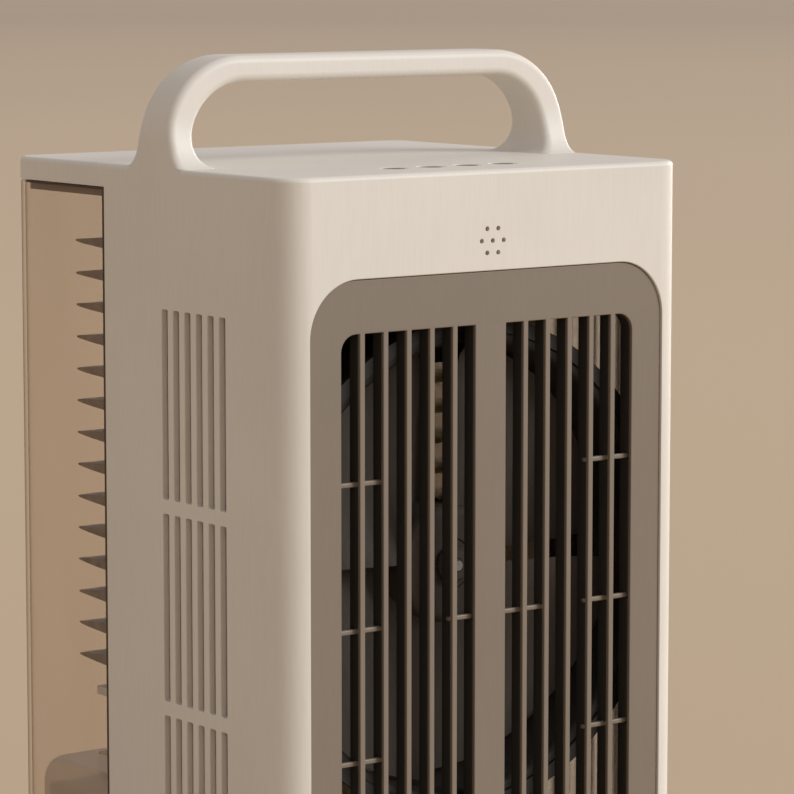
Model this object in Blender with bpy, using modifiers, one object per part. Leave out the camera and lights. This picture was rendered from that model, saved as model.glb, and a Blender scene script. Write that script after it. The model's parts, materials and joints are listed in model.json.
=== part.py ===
"""Box-shaped evaporative desk fan with a carrying handle and a clear rear module.

Frame: X to the right seen from the front, Y from the front to the back, +Z up. The origin is the
bottom centre of the bounding box. Lengths are metres. Depths named "..._IN" are measured behind the
front face, and heights named "..._DOWN" are measured below the top plate.
"""

import math

import bmesh
import bpy
from mathutils import Matrix, Vector

MM = 0.001

# Driving dimensions of the whole object
WIDTH = 235 * MM
DEPTH = 228 * MM
BODY_DEPTH = 146 * MM
TOP = 408 * MM
HANDLE_TOP = 459 * MM
FOOT_HEIGHT = 4 * MM
PLINTH_TOP = 16 * MM
LID_HEIGHT = 11 * MM
WALL = 3 * MM
GAP = 0.3 * MM
FRONT_RADIUS = 16 * MM
REAR_RADIUS = 10 * MM
EDGE_ROUND = 2.2 * MM
ARC_STEPS = 6

HALF = WIDTH / 2
FRONT = -DEPTH / 2
BACK = DEPTH / 2
BODY_BACK = FRONT + BODY_DEPTH
INNER = HALF - WALL

# Front bezel and grille
BEZEL_HALF = 102.7 * MM
BEZEL_TOP_DOWN = 46.8 * MM
BEZEL_BOTTOM_DOWN = 361 * MM
BEZEL_RADIUS = 26 * MM
BEZEL_RECESS = 1.2 * MM
BEZEL_THICK = 1.6 * MM
BEZEL_RIM = 5 * MM
FLANGE_REACH = 2.2 * MM
FLANGE_IN = 3.6 * MM
FIELD_HALF = 85.2 * MM
FIELD_TOP_DOWN = 71.2 * MM
FIELD_BOTTOM_DOWN = 337 * MM
FIELD_RADIUS = 8 * MM
MULLION_HALF = 9 * MM
BARS_PER_SIDE = 5
BAR_WIDTH = 2.9 * MM
FIN_WIDTH = 2.4 * MM
FIN_FRONT_IN = 3.1 * MM
FIN_BACK_IN = 9.7 * MM
RIB_IN = 4.5 * MM
RIB_SIZE = 2.4 * MM

# Side intake slots
SLOT_COLUMNS = 6
SLOT_FIRST_IN = 48.3 * MM
SLOT_PITCH = 9.39 * MM
SLOT_WIDTH = 5 * MM
SLOT_TOPS_DOWN = (65 * MM, 160.3 * MM, 255.6 * MM)
SLOT_HEIGHT = 88.5 * MM

# Handle
HANDLE_IN = 104 * MM
HANDLE_DEPTH = 25 * MM
HANDLE_FLARE = 12 * MM
HANDLE_FLARE_HEIGHT = 24 * MM
HANDLE_OUTER = (75.5 * MM, 12 * MM, 42 * MM, 39 * MM)
HANDLE_INNER = (74.4 * MM, 9.7 * MM, 29 * MM, 29 * MM)
HANDLE_INNER_FLARE = 7.5 * MM
HANDLE_ROUND = 3.8 * MM

# Fan
FAN_DOWN = 187 * MM
FAN_Z = TOP - FAN_DOWN
SHROUD_IN = 16 * MM
SHROUD_HOLE = 111 * MM
RING_RADIUS = 107.5 * MM
RING_LENGTH = 40 * MM
BLADE_COUNT = 4
BLADE_TIP = 103 * MM
BLADE_SPAN = 84
BLADE_REST = 1
HUB_RADIUS = 28 * MM
HUB_IN = 31 * MM
HUB_LENGTH = 24 * MM
SHAFT_RADIUS = 3 * MM
MOTOR_RADIUS = 26 * MM
MOTOR_IN = 66 * MM
MOTOR_LENGTH = 27 * MM

# Controls
BUTTON_COUNT = 4
BUTTON_PITCH = 21.3 * MM
BUTTON_IN = 33 * MM
BUTTON_RADIUS = 6.4 * MM
SOUND_HOLE_DOWN = 32.7 * MM
SOUND_HOLE_PITCH = 6.4 * MM
SOUND_HOLE_RADIUS = 1.1 * MM

# Rear module
MODULE_IN = 147.3 * MM
COVER_WALL = 2 * MM
TANK_TOP = 111 * MM
FIN_COUNT = 14
FIN_FIRST_DOWN = 38.5 * MM
FIN_PITCH = 15.45 * MM
FIN_ROOT_IN = 150.7 * MM
FIN_TIP_IN = 180 * MM
FIN_HALF = 112 * MM

FEET = [(x, y) for x in (-92 * MM, 92 * MM) for y in (-86 * MM, 86 * MM)]
BASE_SCREWS = [(x, y) for x in (-108.4 * MM, 108.4 * MM) for y in (-80 * MM, 22 * MM)]


def clear_scene():
    for obj in list(bpy.data.objects):
        bpy.data.objects.remove(obj, do_unlink=True)


def new_collection(name):
    collection = bpy.data.collections.new(name)
    bpy.context.scene.collection.children.link(collection)
    return collection


clear_scene()
PARTS = new_collection("box_fan")
CUTTERS = new_collection("cutters")


def material(name, colour, roughness, metallic=0.0, alpha=1.0):
    made = bpy.data.materials.new(name)
    made.use_nodes = True
    shader = made.node_tree.nodes["Principled BSDF"]
    shader.inputs["Base Color"].default_value = (*colour, 1.0)
    shader.inputs["Roughness"].default_value = roughness
    shader.inputs["Metallic"].default_value = metallic
    shader.inputs["Alpha"].default_value = alpha
    return made


CREAM = material("cream_plastic", (0.72, 0.66, 0.58), 0.6)
TAUPE = material("taupe_plastic", (0.24, 0.20, 0.16), 0.55)
DARK = material("dark_plastic", (0.03, 0.027, 0.025), 0.5)
SMOKE = material("clear_warm_plastic", (0.75, 0.66, 0.54), 0.1, alpha=0.35)
TANK = material("tank_plastic", (0.3, 0.26, 0.21), 0.5)
WICK = material("wick_pad", (0.12, 0.1, 0.08), 0.9)
STEEL = material("steel", (0.5, 0.5, 0.5), 0.35, metallic=1.0)
RUBBER = material("rubber", (0.02, 0.02, 0.02), 0.9)
BOARD = material("circuit_board", (0.03, 0.12, 0.05), 0.5)
BRASS = material("contact_metal", (0.6, 0.5, 0.3), 0.35, metallic=1.0)
MESH = material("filter_mesh", (0.22, 0.19, 0.16), 0.9)


def depth_in(distance):
    """The Y coordinate of a distance behind the front face."""
    return FRONT + distance


def down(distance):
    """The Z coordinate of a distance below the top plate."""
    return TOP - distance


# Shape helpers


def put(name, mesh, paint, location=(0, 0, 0), rotation=(0, 0, 0)):
    obj = bpy.data.objects.new(name, mesh)
    obj.location = location
    obj.rotation_euler = rotation
    (PARTS if paint else CUTTERS).objects.link(obj)
    if paint:
        mesh.materials.append(paint)
    else:
        obj.hide_render = True
        obj.display_type = "WIRE"
    return obj


def box(name, paint, low, high):
    """An axis-aligned block between two corners, with its origin at its centre."""
    low, high = Vector(low), Vector(high)
    shape = bmesh.new()
    bmesh.ops.create_cube(shape, size=1.0)
    bmesh.ops.scale(shape, vec=high - low, verts=shape.verts)
    mesh = bpy.data.meshes.new(name)
    shape.to_mesh(mesh)
    shape.free()
    return put(name, mesh, paint, (low + high) / 2)


AXIS_TURN = {
    "X": (0, math.radians(90), 0),
    "Y": (math.radians(-90), 0, 0),
    "Z": (0, 0, 0),
}


def rod(name, paint, axis, start, radius, length, sides=24):
    """A cylinder that runs from start along +axis."""
    shape = bmesh.new()
    bmesh.ops.create_cone(
        shape, cap_ends=True, segments=sides, radius1=radius, radius2=radius, depth=length
    )
    bmesh.ops.translate(shape, vec=(0, 0, length / 2), verts=shape.verts)
    mesh = bpy.data.meshes.new(name)
    shape.to_mesh(mesh)
    shape.free()
    mesh.shade_smooth()
    mesh.set_sharp_from_angle(angle=math.radians(40))
    return put(name, mesh, paint, start, AXIS_TURN[axis])


def turned(name, paint, axis, start, profile, sides=48):
    """A body of revolution about an axis. The profile is a closed loop of (radius, height) points that
    runs down its outer side and up its inner side."""
    count = len(profile)
    mesh = bpy.data.meshes.new(name)
    edges = [(i, (i + 1) % count) for i in range(count)]
    mesh.from_pydata([(r, 0, h) for r, h in profile], edges, [])
    obj = put(name, mesh, paint, start, AXIS_TURN[axis])
    screw = obj.modifiers.new("turn", "SCREW")
    screw.steps = screw.render_steps = sides
    screw.use_merge_vertices = True
    screw.merge_threshold = 0.00001
    return obj


def arc(cx, cy, rx, ry, start, stop, steps=ARC_STEPS):
    """Points of an elliptical arc, angles in degrees."""
    angles = [math.radians(start + (stop - start) * i / steps) for i in range(steps + 1)]
    return [(cx + rx * math.cos(a), cy + ry * math.sin(a)) for a in angles]


def rounded_rectangle(x0, x1, y0, y1, radii, steps=ARC_STEPS):
    """Outline of a rectangle. The radii go counter-clockwise from the low corner."""
    points = []
    corners = ((x0, y0, 1, 1, 180), (x1, y0, -1, 1, 270), (x1, y1, -1, -1, 0), (x0, y1, 1, -1, 90))
    for (x, y, sx, sy, start), radius in zip(corners, radii):
        if radius:
            points += arc(x + sx * radius, y + sy * radius, radius, radius, start, start + 90, steps)
        else:
            points.append((x, y))
    return points


PLANE_TURN = {
    "XY": Matrix.Identity(4),
    "XZ": Matrix(((1, 0, 0, 0), (0, 0, -1, 0), (0, 1, 0, 0), (0, 0, 0, 1))),
    "YZ": Matrix(((0, 0, 1, 0), (1, 0, 0, 0), (0, 1, 0, 0), (0, 0, 0, 1))),
}
NORMAL = {"XY": Vector((0, 0, 1)), "XZ": Vector((0, 1, 0)), "YZ": Vector((1, 0, 0))}


def slab(name, paint, plane, loops, low, high):
    """A flat outline with holes, filled and extruded between two positions along its normal."""
    curve = bpy.data.curves.new(name, "CURVE")
    curve.dimensions = "2D"
    curve.fill_mode = "BOTH"
    curve.extrude = (high - low) / 2
    for loop in loops:
        spline = curve.splines.new("POLY")
        spline.points.add(len(loop) - 1)
        for point, (x, y) in zip(spline.points, loop):
            point.co = (x, y, 0, 1)
        spline.use_cyclic_u = True
    outline = bpy.data.objects.new(name + "_outline", curve)
    CUTTERS.objects.link(outline)
    outline.matrix_world = Matrix.Translation(NORMAL[plane] * (low + high) / 2) @ PLANE_TURN[plane]
    bpy.context.view_layer.update()
    graph = bpy.context.evaluated_depsgraph_get()
    mesh = bpy.data.meshes.new_from_object(outline.evaluated_get(graph))
    mesh.name = name
    shape = bmesh.new()
    shape.from_mesh(mesh)
    bmesh.ops.remove_doubles(shape, verts=shape.verts, dist=0.000001)
    bmesh.ops.recalc_face_normals(shape, faces=shape.faces)
    shape.to_mesh(mesh)
    shape.free()
    mesh.materials.clear()
    obj = put(name, mesh, paint)
    obj.matrix_world = outline.matrix_world
    bpy.data.objects.remove(outline)
    bpy.data.curves.remove(curve)
    return obj


def boolean(obj, other, operation):
    step = obj.modifiers.new(operation.lower(), "BOOLEAN")
    step.operation = operation
    step.solver = "EXACT"
    step.object = other


def cut(obj, *tools):
    for tool in tools:
        boolean(obj, tool, "DIFFERENCE")


def join(obj, *pieces):
    for piece in pieces:
        boolean(obj, piece, "UNION")


def simplify(obj):
    """Dissolves the flat edges that the Booleans leave."""
    step = obj.modifiers.new("flat faces", "DECIMATE")
    step.decimate_type = "DISSOLVE"
    step.angle_limit = math.radians(0.05)
    return obj


def tube(name, paint, route, radius, samples=3):
    """A round lead through the route's points, smoothed with Catmull-Rom spans."""
    ends = [route[0], *route, route[-1]]
    ends = [Vector(p) for p in ends]
    points = []
    for i in range(len(route) - 1):
        a, b, c, d = ends[i : i + 4]
        for k in range(samples):
            t = k / samples
            points.append(
                0.5 * (2 * b + (c - a) * t + (2 * a - 5 * b + 4 * c - d) * t**2
                       + (3 * b - a - 3 * c + d) * t**3)
            )
    points.append(ends[-1])
    curve = bpy.data.curves.new(name, "CURVE")
    curve.dimensions = "3D"
    curve.bevel_depth = radius
    curve.bevel_resolution = 2
    curve.use_fill_caps = True
    spline = curve.splines.new("POLY")
    spline.points.add(len(points) - 1)
    for point, co in zip(spline.points, points):
        point.co = (*co, 1)
    obj = bpy.data.objects.new(name, curve)
    curve.materials.append(paint)
    PARTS.objects.link(obj)
    return obj


# Outlines


def plan_outline(inset=0.0, front=FRONT, back=BACK, rear_radius=REAR_RADIUS):
    """Plan of the body, with large front corners and smaller rear corners."""
    front_r, rear_r = FRONT_RADIUS - inset, max(rear_radius - inset, 0)
    radii = (front_r, front_r, rear_r, rear_r)
    return rounded_rectangle(-HALF + inset, HALF - inset, front + inset, back - inset, radii)


def bezel_outline(grow):
    radii = (BEZEL_RADIUS + grow,) * 4
    half = BEZEL_HALF + grow
    return rounded_rectangle(
        -half, half, down(BEZEL_BOTTOM_DOWN) - grow, down(BEZEL_TOP_DOWN) + grow, radii
    )


def bar_edges(width):
    """X ranges of the openings in the right half, between the mullion and the field's edge."""
    pitch = (FIELD_HALF - MULLION_HALF + BAR_WIDTH) / (BARS_PER_SIDE + 1)
    slack = (BAR_WIDTH - width) / 2
    ranges = []
    for i in range(BARS_PER_SIDE + 1):
        low = MULLION_HALF + i * pitch - (slack if i else 0)
        high = MULLION_HALF + (i + 1) * pitch - BAR_WIDTH + (slack if i < BARS_PER_SIDE else 0)
        ranges.append((low, high))
    return ranges


def bar_centre(number):
    """X of a bar's middle, numbered outwards from the mullion, negative to the left."""
    edge = bar_edges(BAR_WIDTH)[abs(number) - 1][1]
    return math.copysign(edge + BAR_WIDTH / 2, number)


FRAME_END = FIELD_HALF + 1.6 * MM
OUTER_SUPPORTS = [bar_centre(4), bar_centre(5), FRAME_END]
CENTRE_SUPPORTS = [bar_centre(-1), 0.0, bar_centre(1), bar_centre(2)]
RIBS = [
    (down(distance), [side * x for x in OUTER_SUPPORTS])
    for distance in (139.7 * MM, 207 * MM, 268 * MM)
    for side in (-1, 1)
] + [(down(207 * MM), CENTRE_SUPPORTS)]


def grille_openings(width):
    """Outlines of the twelve tall openings, the outermost with round outer corners."""
    bottom, top = down(FIELD_BOTTOM_DOWN), down(FIELD_TOP_DOWN)
    loops = []
    for i, (low, high) in enumerate(bar_edges(width)):
        r = FIELD_RADIUS if i == BARS_PER_SIDE else 0
        loops.append(rounded_rectangle(low, high, bottom, top, (0, r, r, 0)))
        loops.append(rounded_rectangle(-high, -low, bottom, top, (r, 0, 0, r)))
    return loops


# Body


def handle_section(centre_a, centre_b, half_depth):
    """Rounded rectangle between an outer and an inner point in the XZ plane, half_depth wide in Y."""
    outer, inner = Vector(centre_a), Vector(centre_b)
    middle, across = (outer + inner) / 2, (outer - inner) / 2
    half_thick = across.length
    r = min(HANDLE_ROUND, half_thick * 0.9)
    loop = rounded_rectangle(
        -half_thick, half_thick, -half_depth, half_depth, (r, r, r, r), steps=3
    )
    unit = across / half_thick
    y = depth_in(HANDLE_IN)
    return [(middle.x + unit.x * u, y + v, middle.y + unit.y * u) for u, v in loop]


def handle_half_depth(z):
    """Half depth of the handle at a height above the top plate, wider towards its foot."""
    rise = min(max(z / HANDLE_FLARE_HEIGHT, 0.0), 1.0)
    return HANDLE_DEPTH / 2 + HANDLE_FLARE * (1 - math.sqrt(1 - (1 - rise) ** 2))


def handle_stations():
    """(outer point, inner point, half depth) from the right foot to the middle of the top bar."""
    ox, oz, orx, orz = HANDLE_OUTER
    ix, iz, irx, irz = HANDLE_INNER
    stations = []
    for z in (-5 * MM, 0.0, 2 * MM, 5 * MM):
        spread = HANDLE_INNER_FLARE * (1 - math.sqrt(1 - (1 - min(max(z / iz, 0), 1)) ** 2))
        stations.append(((HALF, z), (ix + irx - spread, z), handle_half_depth(z)))
    steps = 8
    for i in range(steps + 1):
        a = math.radians(90 * i / steps)
        outer = (ox + orx * math.cos(a), oz + orz * math.sin(a))
        inner = (ix + irx * math.cos(a), iz + irz * math.sin(a))
        stations.append((outer, inner, handle_half_depth((outer[1] + inner[1]) / 2)))
    return stations


def handle():
    """The carrying handle, lofted through sections from the right foot over to the left foot."""
    half = handle_stations()
    top = ((0.0, half[-1][0][1]), (0.0, half[-1][1][1]), half[-1][2])
    mirrored = [((-o[0], o[1]), (-i[0], i[1]), d) for o, i, d in reversed(half)]
    shape = bmesh.new()
    rings = []
    for outer, inner, half_depth in half + [top] + mirrored:
        outer, inner = (outer[0], TOP + outer[1]), (inner[0], TOP + inner[1])
        ring = [shape.verts.new(p) for p in handle_section(outer, inner, half_depth)]
        rings.append(ring)
    for a, b in zip(rings, rings[1:]):
        for i in range(len(a)):
            j = (i + 1) % len(a)
            shape.faces.new((a[i], a[j], b[j], b[i]))
    shape.faces.new(rings[0])
    shape.faces.new(rings[-1])
    bmesh.ops.recalc_face_normals(shape, faces=shape.faces)
    mesh = bpy.data.meshes.new("handle_loft")
    shape.to_mesh(mesh)
    shape.free()
    return put("handle_loft", mesh, None)


def round_top(obj, height, width, segments=3):
    """Bevels the edges that lie at one height."""
    shape = bmesh.new()
    shape.from_mesh(obj.data)
    edges = [e for e in shape.edges
             if all(abs((obj.matrix_world @ v.co).z - height) < 1e-6 for v in e.verts)
             and len(e.link_faces) == 2
             and abs(e.link_faces[0].normal.dot(e.link_faces[1].normal)) < 0.5]
    bmesh.ops.bevel(shape, geom=edges, offset=width, segments=segments, profile=0.5,
                    affect="EDGES", clamp_overlap=True)
    shape.to_mesh(obj.data)
    shape.free()


def slot_cutters():
    """Blocks that cut the intake slots through both side walls at once."""
    cutters = []
    for row, top in enumerate(SLOT_TOPS_DOWN):
        loops = []
        for column in range(SLOT_COLUMNS):
            y = depth_in(SLOT_FIRST_IN + column * SLOT_PITCH)
            loops.append(rounded_rectangle(
                y - SLOT_WIDTH / 2, y + SLOT_WIDTH / 2, down(top + SLOT_HEIGHT), down(top), (0,) * 4))
        cutters.append(slab(f"slots_{row}", None, "YZ", loops, -HALF - WALL, HALF + WALL))
    return cutters


def sound_hole_cutter():
    """A hexagon of round holes with one in the middle, through the front wall."""
    spots = [(0.0, 0.0)]
    for i in range(6):
        a = math.radians(60 * i)
        spots.append((SOUND_HOLE_PITCH * math.cos(a), SOUND_HOLE_PITCH * math.sin(a)))
    z = down(SOUND_HOLE_DOWN)
    loops = [arc(x, z + dz, SOUND_HOLE_RADIUS, SOUND_HOLE_RADIUS, 0, 324, 9) for x, dz in spots]
    return slab("sound_holes", None, "XZ", loops, FRONT - WALL, FRONT + WALL + MM)


def button_x(index):
    return (index - (BUTTON_COUNT - 1) / 2) * BUTTON_PITCH


SHROUD_SCREWS = [(x, down(d)) for x in (-103 * MM, 103 * MM) for d in (34 * MM, 374 * MM)]
CONTROL_SCREW_X = 44 * MM
BOSS_RADIUS = 4 * MM
PILOT = 1.6 * MM
SHANK = 1.3 * MM


def housing():
    body = slab("housing", CREAM, "XY", [plan_outline()], PLINTH_TOP + GAP, TOP)
    round_top(body, TOP, EDGE_ROUND)
    cut(body, box("under_lid", None, (-WIDTH, BODY_BACK, -WALL), (WIDTH, DEPTH, TOP - LID_HEIGHT)))
    cut(body, slab("cavity", None, "XY", [plan_outline(WALL)], -WALL, TOP - WALL))
    join(body, handle())
    for x, z in SHROUD_SCREWS:
        join(body, rod("shroud_boss", None, "Y", (x, FRONT + WALL - MM, z), BOSS_RADIUS,
                       SHROUD_IN - GAP - WALL + MM, 16))
    for x, y in BASE_SCREWS:
        side = math.copysign(1, x)
        join(body, rod("base_boss", None, "Z", (x, y, PLINTH_TOP - 8 * MM), 5.5 * MM, 40 * MM, 20))
        join(body, box("base_boss_web", None, (min(x, side * (INNER + MM)), y - 1.5 * MM, 22 * MM),
                       (max(x, side * (INNER + MM)), y + 1.5 * MM, 46 * MM)))
    for side in (-1, 1):
        join(body, rod("board_boss", None, "Z", (side * CONTROL_SCREW_X, depth_in(BUTTON_IN),
                       TOP - 15 * MM), 3.2 * MM, 13 * MM, 16))
    collar = turned("buzzer_collar", None, "Y", (0, FRONT + WALL - MM, down(SOUND_HOLE_DOWN)),
                    [(9.4 * MM, 6 * MM), (9.4 * MM, 0), (8 * MM, 0), (8 * MM, 6 * MM)], 24)
    join(body, collar)
    for x, z in SHROUD_SCREWS:
        cut(body, rod("shroud_pilot", None, "Y", (x, FRONT + WALL + MM, z), PILOT, 20 * MM, 12))
    for x, y in BASE_SCREWS:
        cut(body, rod("base_pilot", None, "Z", (x, y, 0), PILOT, 30 * MM, 12))
    for side in (-1, 1):
        cut(body, rod("board_pilot", None, "Z", (side * CONTROL_SCREW_X, depth_in(BUTTON_IN),
                      TOP - 20 * MM), PILOT, 15 * MM, 12))
    cut(body, slab("bezel_hole", None, "XZ", [bezel_outline(GAP)], FRONT - WALL, FRONT + WALL + MM))
    cut(body, *slot_cutters())
    cut(body, sound_hole_cutter())
    for i in range(BUTTON_COUNT):
        cut(body, rod("button_hole", None, "Z", (button_x(i), depth_in(BUTTON_IN), TOP - 2 * WALL),
                      BUTTON_RADIUS + GAP, 4 * WALL, 20))
    return simplify(body)


def base():
    body = slab("base", CREAM, "XY", [plan_outline()], FOOT_HEIGHT, PLINTH_TOP)
    cut(body, slab("base_hollow", None, "XY", [plan_outline(WALL)], FOOT_HEIGHT + WALL,
                   PLINTH_TOP - WALL))
    cut(body, slab("base_well", None, "XY",
                   [plan_outline(WALL, back=BODY_BACK, rear_radius=0)],
                   PLINTH_TOP - WALL - MM, PLINTH_TOP + MM))
    for x, y in DRIVER_POSTS:
        join(body, rod("driver_post", None, "Z", (x, y, FOOT_HEIGHT + MM), 3.2 * MM,
                       DRIVER_Z - GAP - FOOT_HEIGHT - MM, 16))
    for x, y in DRIVER_POSTS:
        cut(body, rod("driver_pilot", None, "Z", (x, y, FOOT_HEIGHT + WALL), PILOT, 30 * MM, 12))
    for x, y in BASE_SCREWS:
        cut(body, rod("base_screw_hole", None, "Z", (x, y, 0), PILOT, 12 * MM, 12))
    cut(body, box("inlet_hole", None,
                  (-INLET_HALF - GAP, BACK - 2 * WALL, INLET_Z - INLET_TALL / 2 - GAP),
                  (INLET_HALF + GAP, BACK + WALL, INLET_Z + INLET_TALL / 2 + GAP)))
    return simplify(body)


DRIVER_POSTS = [(x, y) for x in (-50 * MM, 50 * MM) for y in (-40 * MM, 20 * MM)]
DRIVER_Z = 21 * MM
BOARD_THICK = 1.6 * MM
INLET_HALF = 4.6 * MM
INLET_TALL = 3.4 * MM
INLET_Z = 10 * MM


def front_bezel():
    """Face plate with the bars, a rim behind it, and a flange that bears on the housing's inside."""
    front = depth_in(BEZEL_RECESS)
    body = slab("front_bezel", TAUPE, "XZ", [bezel_outline(0), *grille_openings(BAR_WIDTH)],
                front, front + BEZEL_THICK)
    rim_inner = bezel_outline(-BEZEL_RIM)
    join(body, slab("bezel_rim", None, "XZ", [bezel_outline(-0.2 * MM), rim_inner],
                    front + BEZEL_THICK / 2, depth_in(6 * MM)))
    join(body, slab("bezel_flange", None, "XZ",
                    [bezel_outline(FLANGE_REACH), bezel_outline(-BEZEL_RIM / 2)],
                    depth_in(FLANGE_IN), depth_in(FLANGE_IN + 1.5 * MM)))
    for z, supports in RIBS:
        half, post, reach = RIB_SIZE / 2, RIB_SIZE / 2 - 0.1 * MM, 1.1 * MM
        join(body, box("rib", None, (min(supports) - reach, depth_in(RIB_IN), z - half),
                       (max(supports) + reach, depth_in(RIB_IN + RIB_SIZE), z + half)))
        for x in supports:
            join(body, box("rib_post", None, (x - MM, front + BEZEL_THICK - 0.4 * MM, z - post),
                           (x + MM, depth_in(RIB_IN) + 0.5 * MM, z + post)))
    return body


def grille_insert():
    """Dark fins that stand behind the bars, in one frame, with notches for the bezel's ribs."""
    edge = bezel_outline(-BEZEL_RIM - GAP)
    body = slab("grille_insert", DARK, "XZ", [edge, *grille_openings(FIN_WIDTH)],
                depth_in(FIN_FRONT_IN), depth_in(FIN_BACK_IN))
    for z, supports in RIBS:
        tall, reach = RIB_SIZE / 2 + GAP, 1.1 * MM + GAP
        cut(body, box("notch", None, (min(supports) - reach, depth_in(0), z - tall),
                      (max(supports) + reach, depth_in(RIB_IN + RIB_SIZE) + GAP, z + tall)))
    return body


# Fan

RING_IN = SHROUD_IN + WALL + GAP
EAR_REACH = 115.5 * MM
EARS = [(EAR_REACH * math.cos(math.radians(a)), FAN_Z + EAR_REACH * math.sin(math.radians(a)))
        for a in (45, 135, 225, 315)]
BRACKET_IN = RING_IN + RING_LENGTH + GAP
BRACKET_THICK = 4 * MM


def circle(radius, x=0.0, z=None, sides=40):
    z = FAN_Z if z is None else z
    return arc(x, z, radius, radius, 0, 360 - 360 / sides, sides - 1)


def corner_windows(low, high):
    """Cutters for the four corner windows, each with one side round the fan's hole."""
    reach, inner, outer = 117.5 * MM, 14 * MM, 107 * MM
    first, last = math.degrees(math.acos(outer / reach)), math.degrees(math.acos(inner / reach))
    cutters = []
    for side in (-1, 1):
        for up, z in ((1, down(50 * MM)), (-1, down(358 * MM))):
            curve = [(side * x, FAN_Z + up * h) for x, h in arc(0, 0, reach, reach, first, last, 8)]
            loop = [*curve, (side * inner, z), (side * outer, z)]
            cutters.append(slab("window", None, "XZ", [loop], low, high))
    return cutters


def shroud_plate():
    """Frame that holds the fan ring, screwed to the housing's bosses at its corners."""
    half = INNER - MM
    low, high = depth_in(SHROUD_IN), depth_in(SHROUD_IN) + WALL
    outline = rounded_rectangle(-half, half, down(381 * MM), down(27 * MM), (6 * MM,) * 4, 4)
    holes = [circle(PILOT, x, z, 8) for x, z in SHROUD_SCREWS]
    body = slab("shroud_plate", DARK, "XZ", [outline, circle(SHROUD_HOLE), *holes], low, high)
    cut(body, *corner_windows(low - MM, high + MM))
    for x, z in EARS:
        join(body, rod("ear_pad", None, "Y", (x, low + 0.1 * MM, z), 4.2 * MM, WALL - 0.2 * MM, 16))
    for x, z in EARS:
        cut(body, rod("ear_pad_hole", None, "Y", (x, low - MM, z), PILOT, WALL + 2 * MM, 8))
    return body


def fan_ring():
    """Air duct with a lip inside the plate's hole, a flange behind the plate and four screw ears."""
    lip, flange, wall = SHROUD_HOLE - 0.4 * MM, 113.2 * MM, 2 * MM
    inner = RING_RADIUS - wall
    profile = [(inner, RING_LENGTH), (inner, 0), (inner, -2 * MM), (lip, -2 * MM), (lip, 0),
               (flange, 0), (flange, wall), (RING_RADIUS, wall), (RING_RADIUS, RING_LENGTH)]
    body = turned("fan_ring", DARK, "Y", (0, depth_in(RING_IN), FAN_Z), profile[::-1], 28)
    for x, z in EARS:
        join(body, rod("ring_ear", None, "Y", (x, depth_in(RING_IN), z), 5 * MM, wall, 16))
    for x, z in EARS:
        cut(body, rod("ear_hole", None, "Y", (x, depth_in(RING_IN) - MM, z), PILOT, 4 * MM, 12))
    return body


def motor_bracket():
    """Rim, four spokes and a motor plate, cut from one sheet."""
    low, high = depth_in(BRACKET_IN), depth_in(BRACKET_IN) + BRACKET_THICK
    body = slab("motor_bracket", DARK, "XZ", [circle(RING_RADIUS), circle(RING_RADIUS - 3 * MM)],
                low, high)
    join(body, slab("bracket_plate", None, "XZ", [circle(30 * MM, sides=24)], low, high))
    for angle in (45, 135):
        spoke = box(f"spoke_{angle}", None, (-RING_RADIUS + MM, -BRACKET_THICK / 2 + 0.2 * MM, -3.5 * MM),
                    (RING_RADIUS - MM, BRACKET_THICK / 2 - 0.2 * MM, 3.5 * MM))
        spoke.location = (0, (low + high) / 2, FAN_Z)
        spoke.rotation_euler = (0, math.radians(angle), 0)
        join(body, spoke)
    cut(body, rod("bracket_bore", None, "Y", (0, low - MM, FAN_Z), 8 * MM, 8 * MM, 24))
    for x, z in MOTOR_SCREWS:
        cut(body, rod("motor_screw_hole", None, "Y", (x, low - MM, z), PILOT, 8 * MM, 10))
    return simplify(body)


MOTOR_SCREWS = [(18 * MM * math.cos(math.radians(a)), FAN_Z + 18 * MM * math.sin(math.radians(a)))
                for a in (90, 210, 330)]


def motor():
    """Motor can with a round shoulder, a front boss in the bracket's bore, and a shaft bore."""
    boss, shoulder, bore = 7.5 * MM, 2 * MM, SHAFT_RADIUS + GAP
    back = MOTOR_LENGTH
    front = BRACKET_IN + BRACKET_THICK + GAP - MOTOR_IN
    profile = [(bore, front - 3 * MM), (boss, front - 3 * MM), (boss, front), (MOTOR_RADIUS, front),
               (MOTOR_RADIUS, back - shoulder), (MOTOR_RADIUS - shoulder, back), (bore, back)]
    body = turned("fan_motor", STEEL, "Y", (0, depth_in(MOTOR_IN), FAN_Z), profile, 24)
    for x, z in MOTOR_SCREWS:
        cut(body, rod("motor_pilot", None, "Y", (x, depth_in(BRACKET_IN), z), PILOT, 14 * MM, 12))
    return body


def motor_shaft():
    start = depth_in(HUB_IN - 6 * MM)
    return rod("motor_shaft", STEEL, "Y", (0, start, FAN_Z), SHAFT_RADIUS,
               depth_in(MOTOR_IN + 20 * MM) - start, 20)


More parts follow.
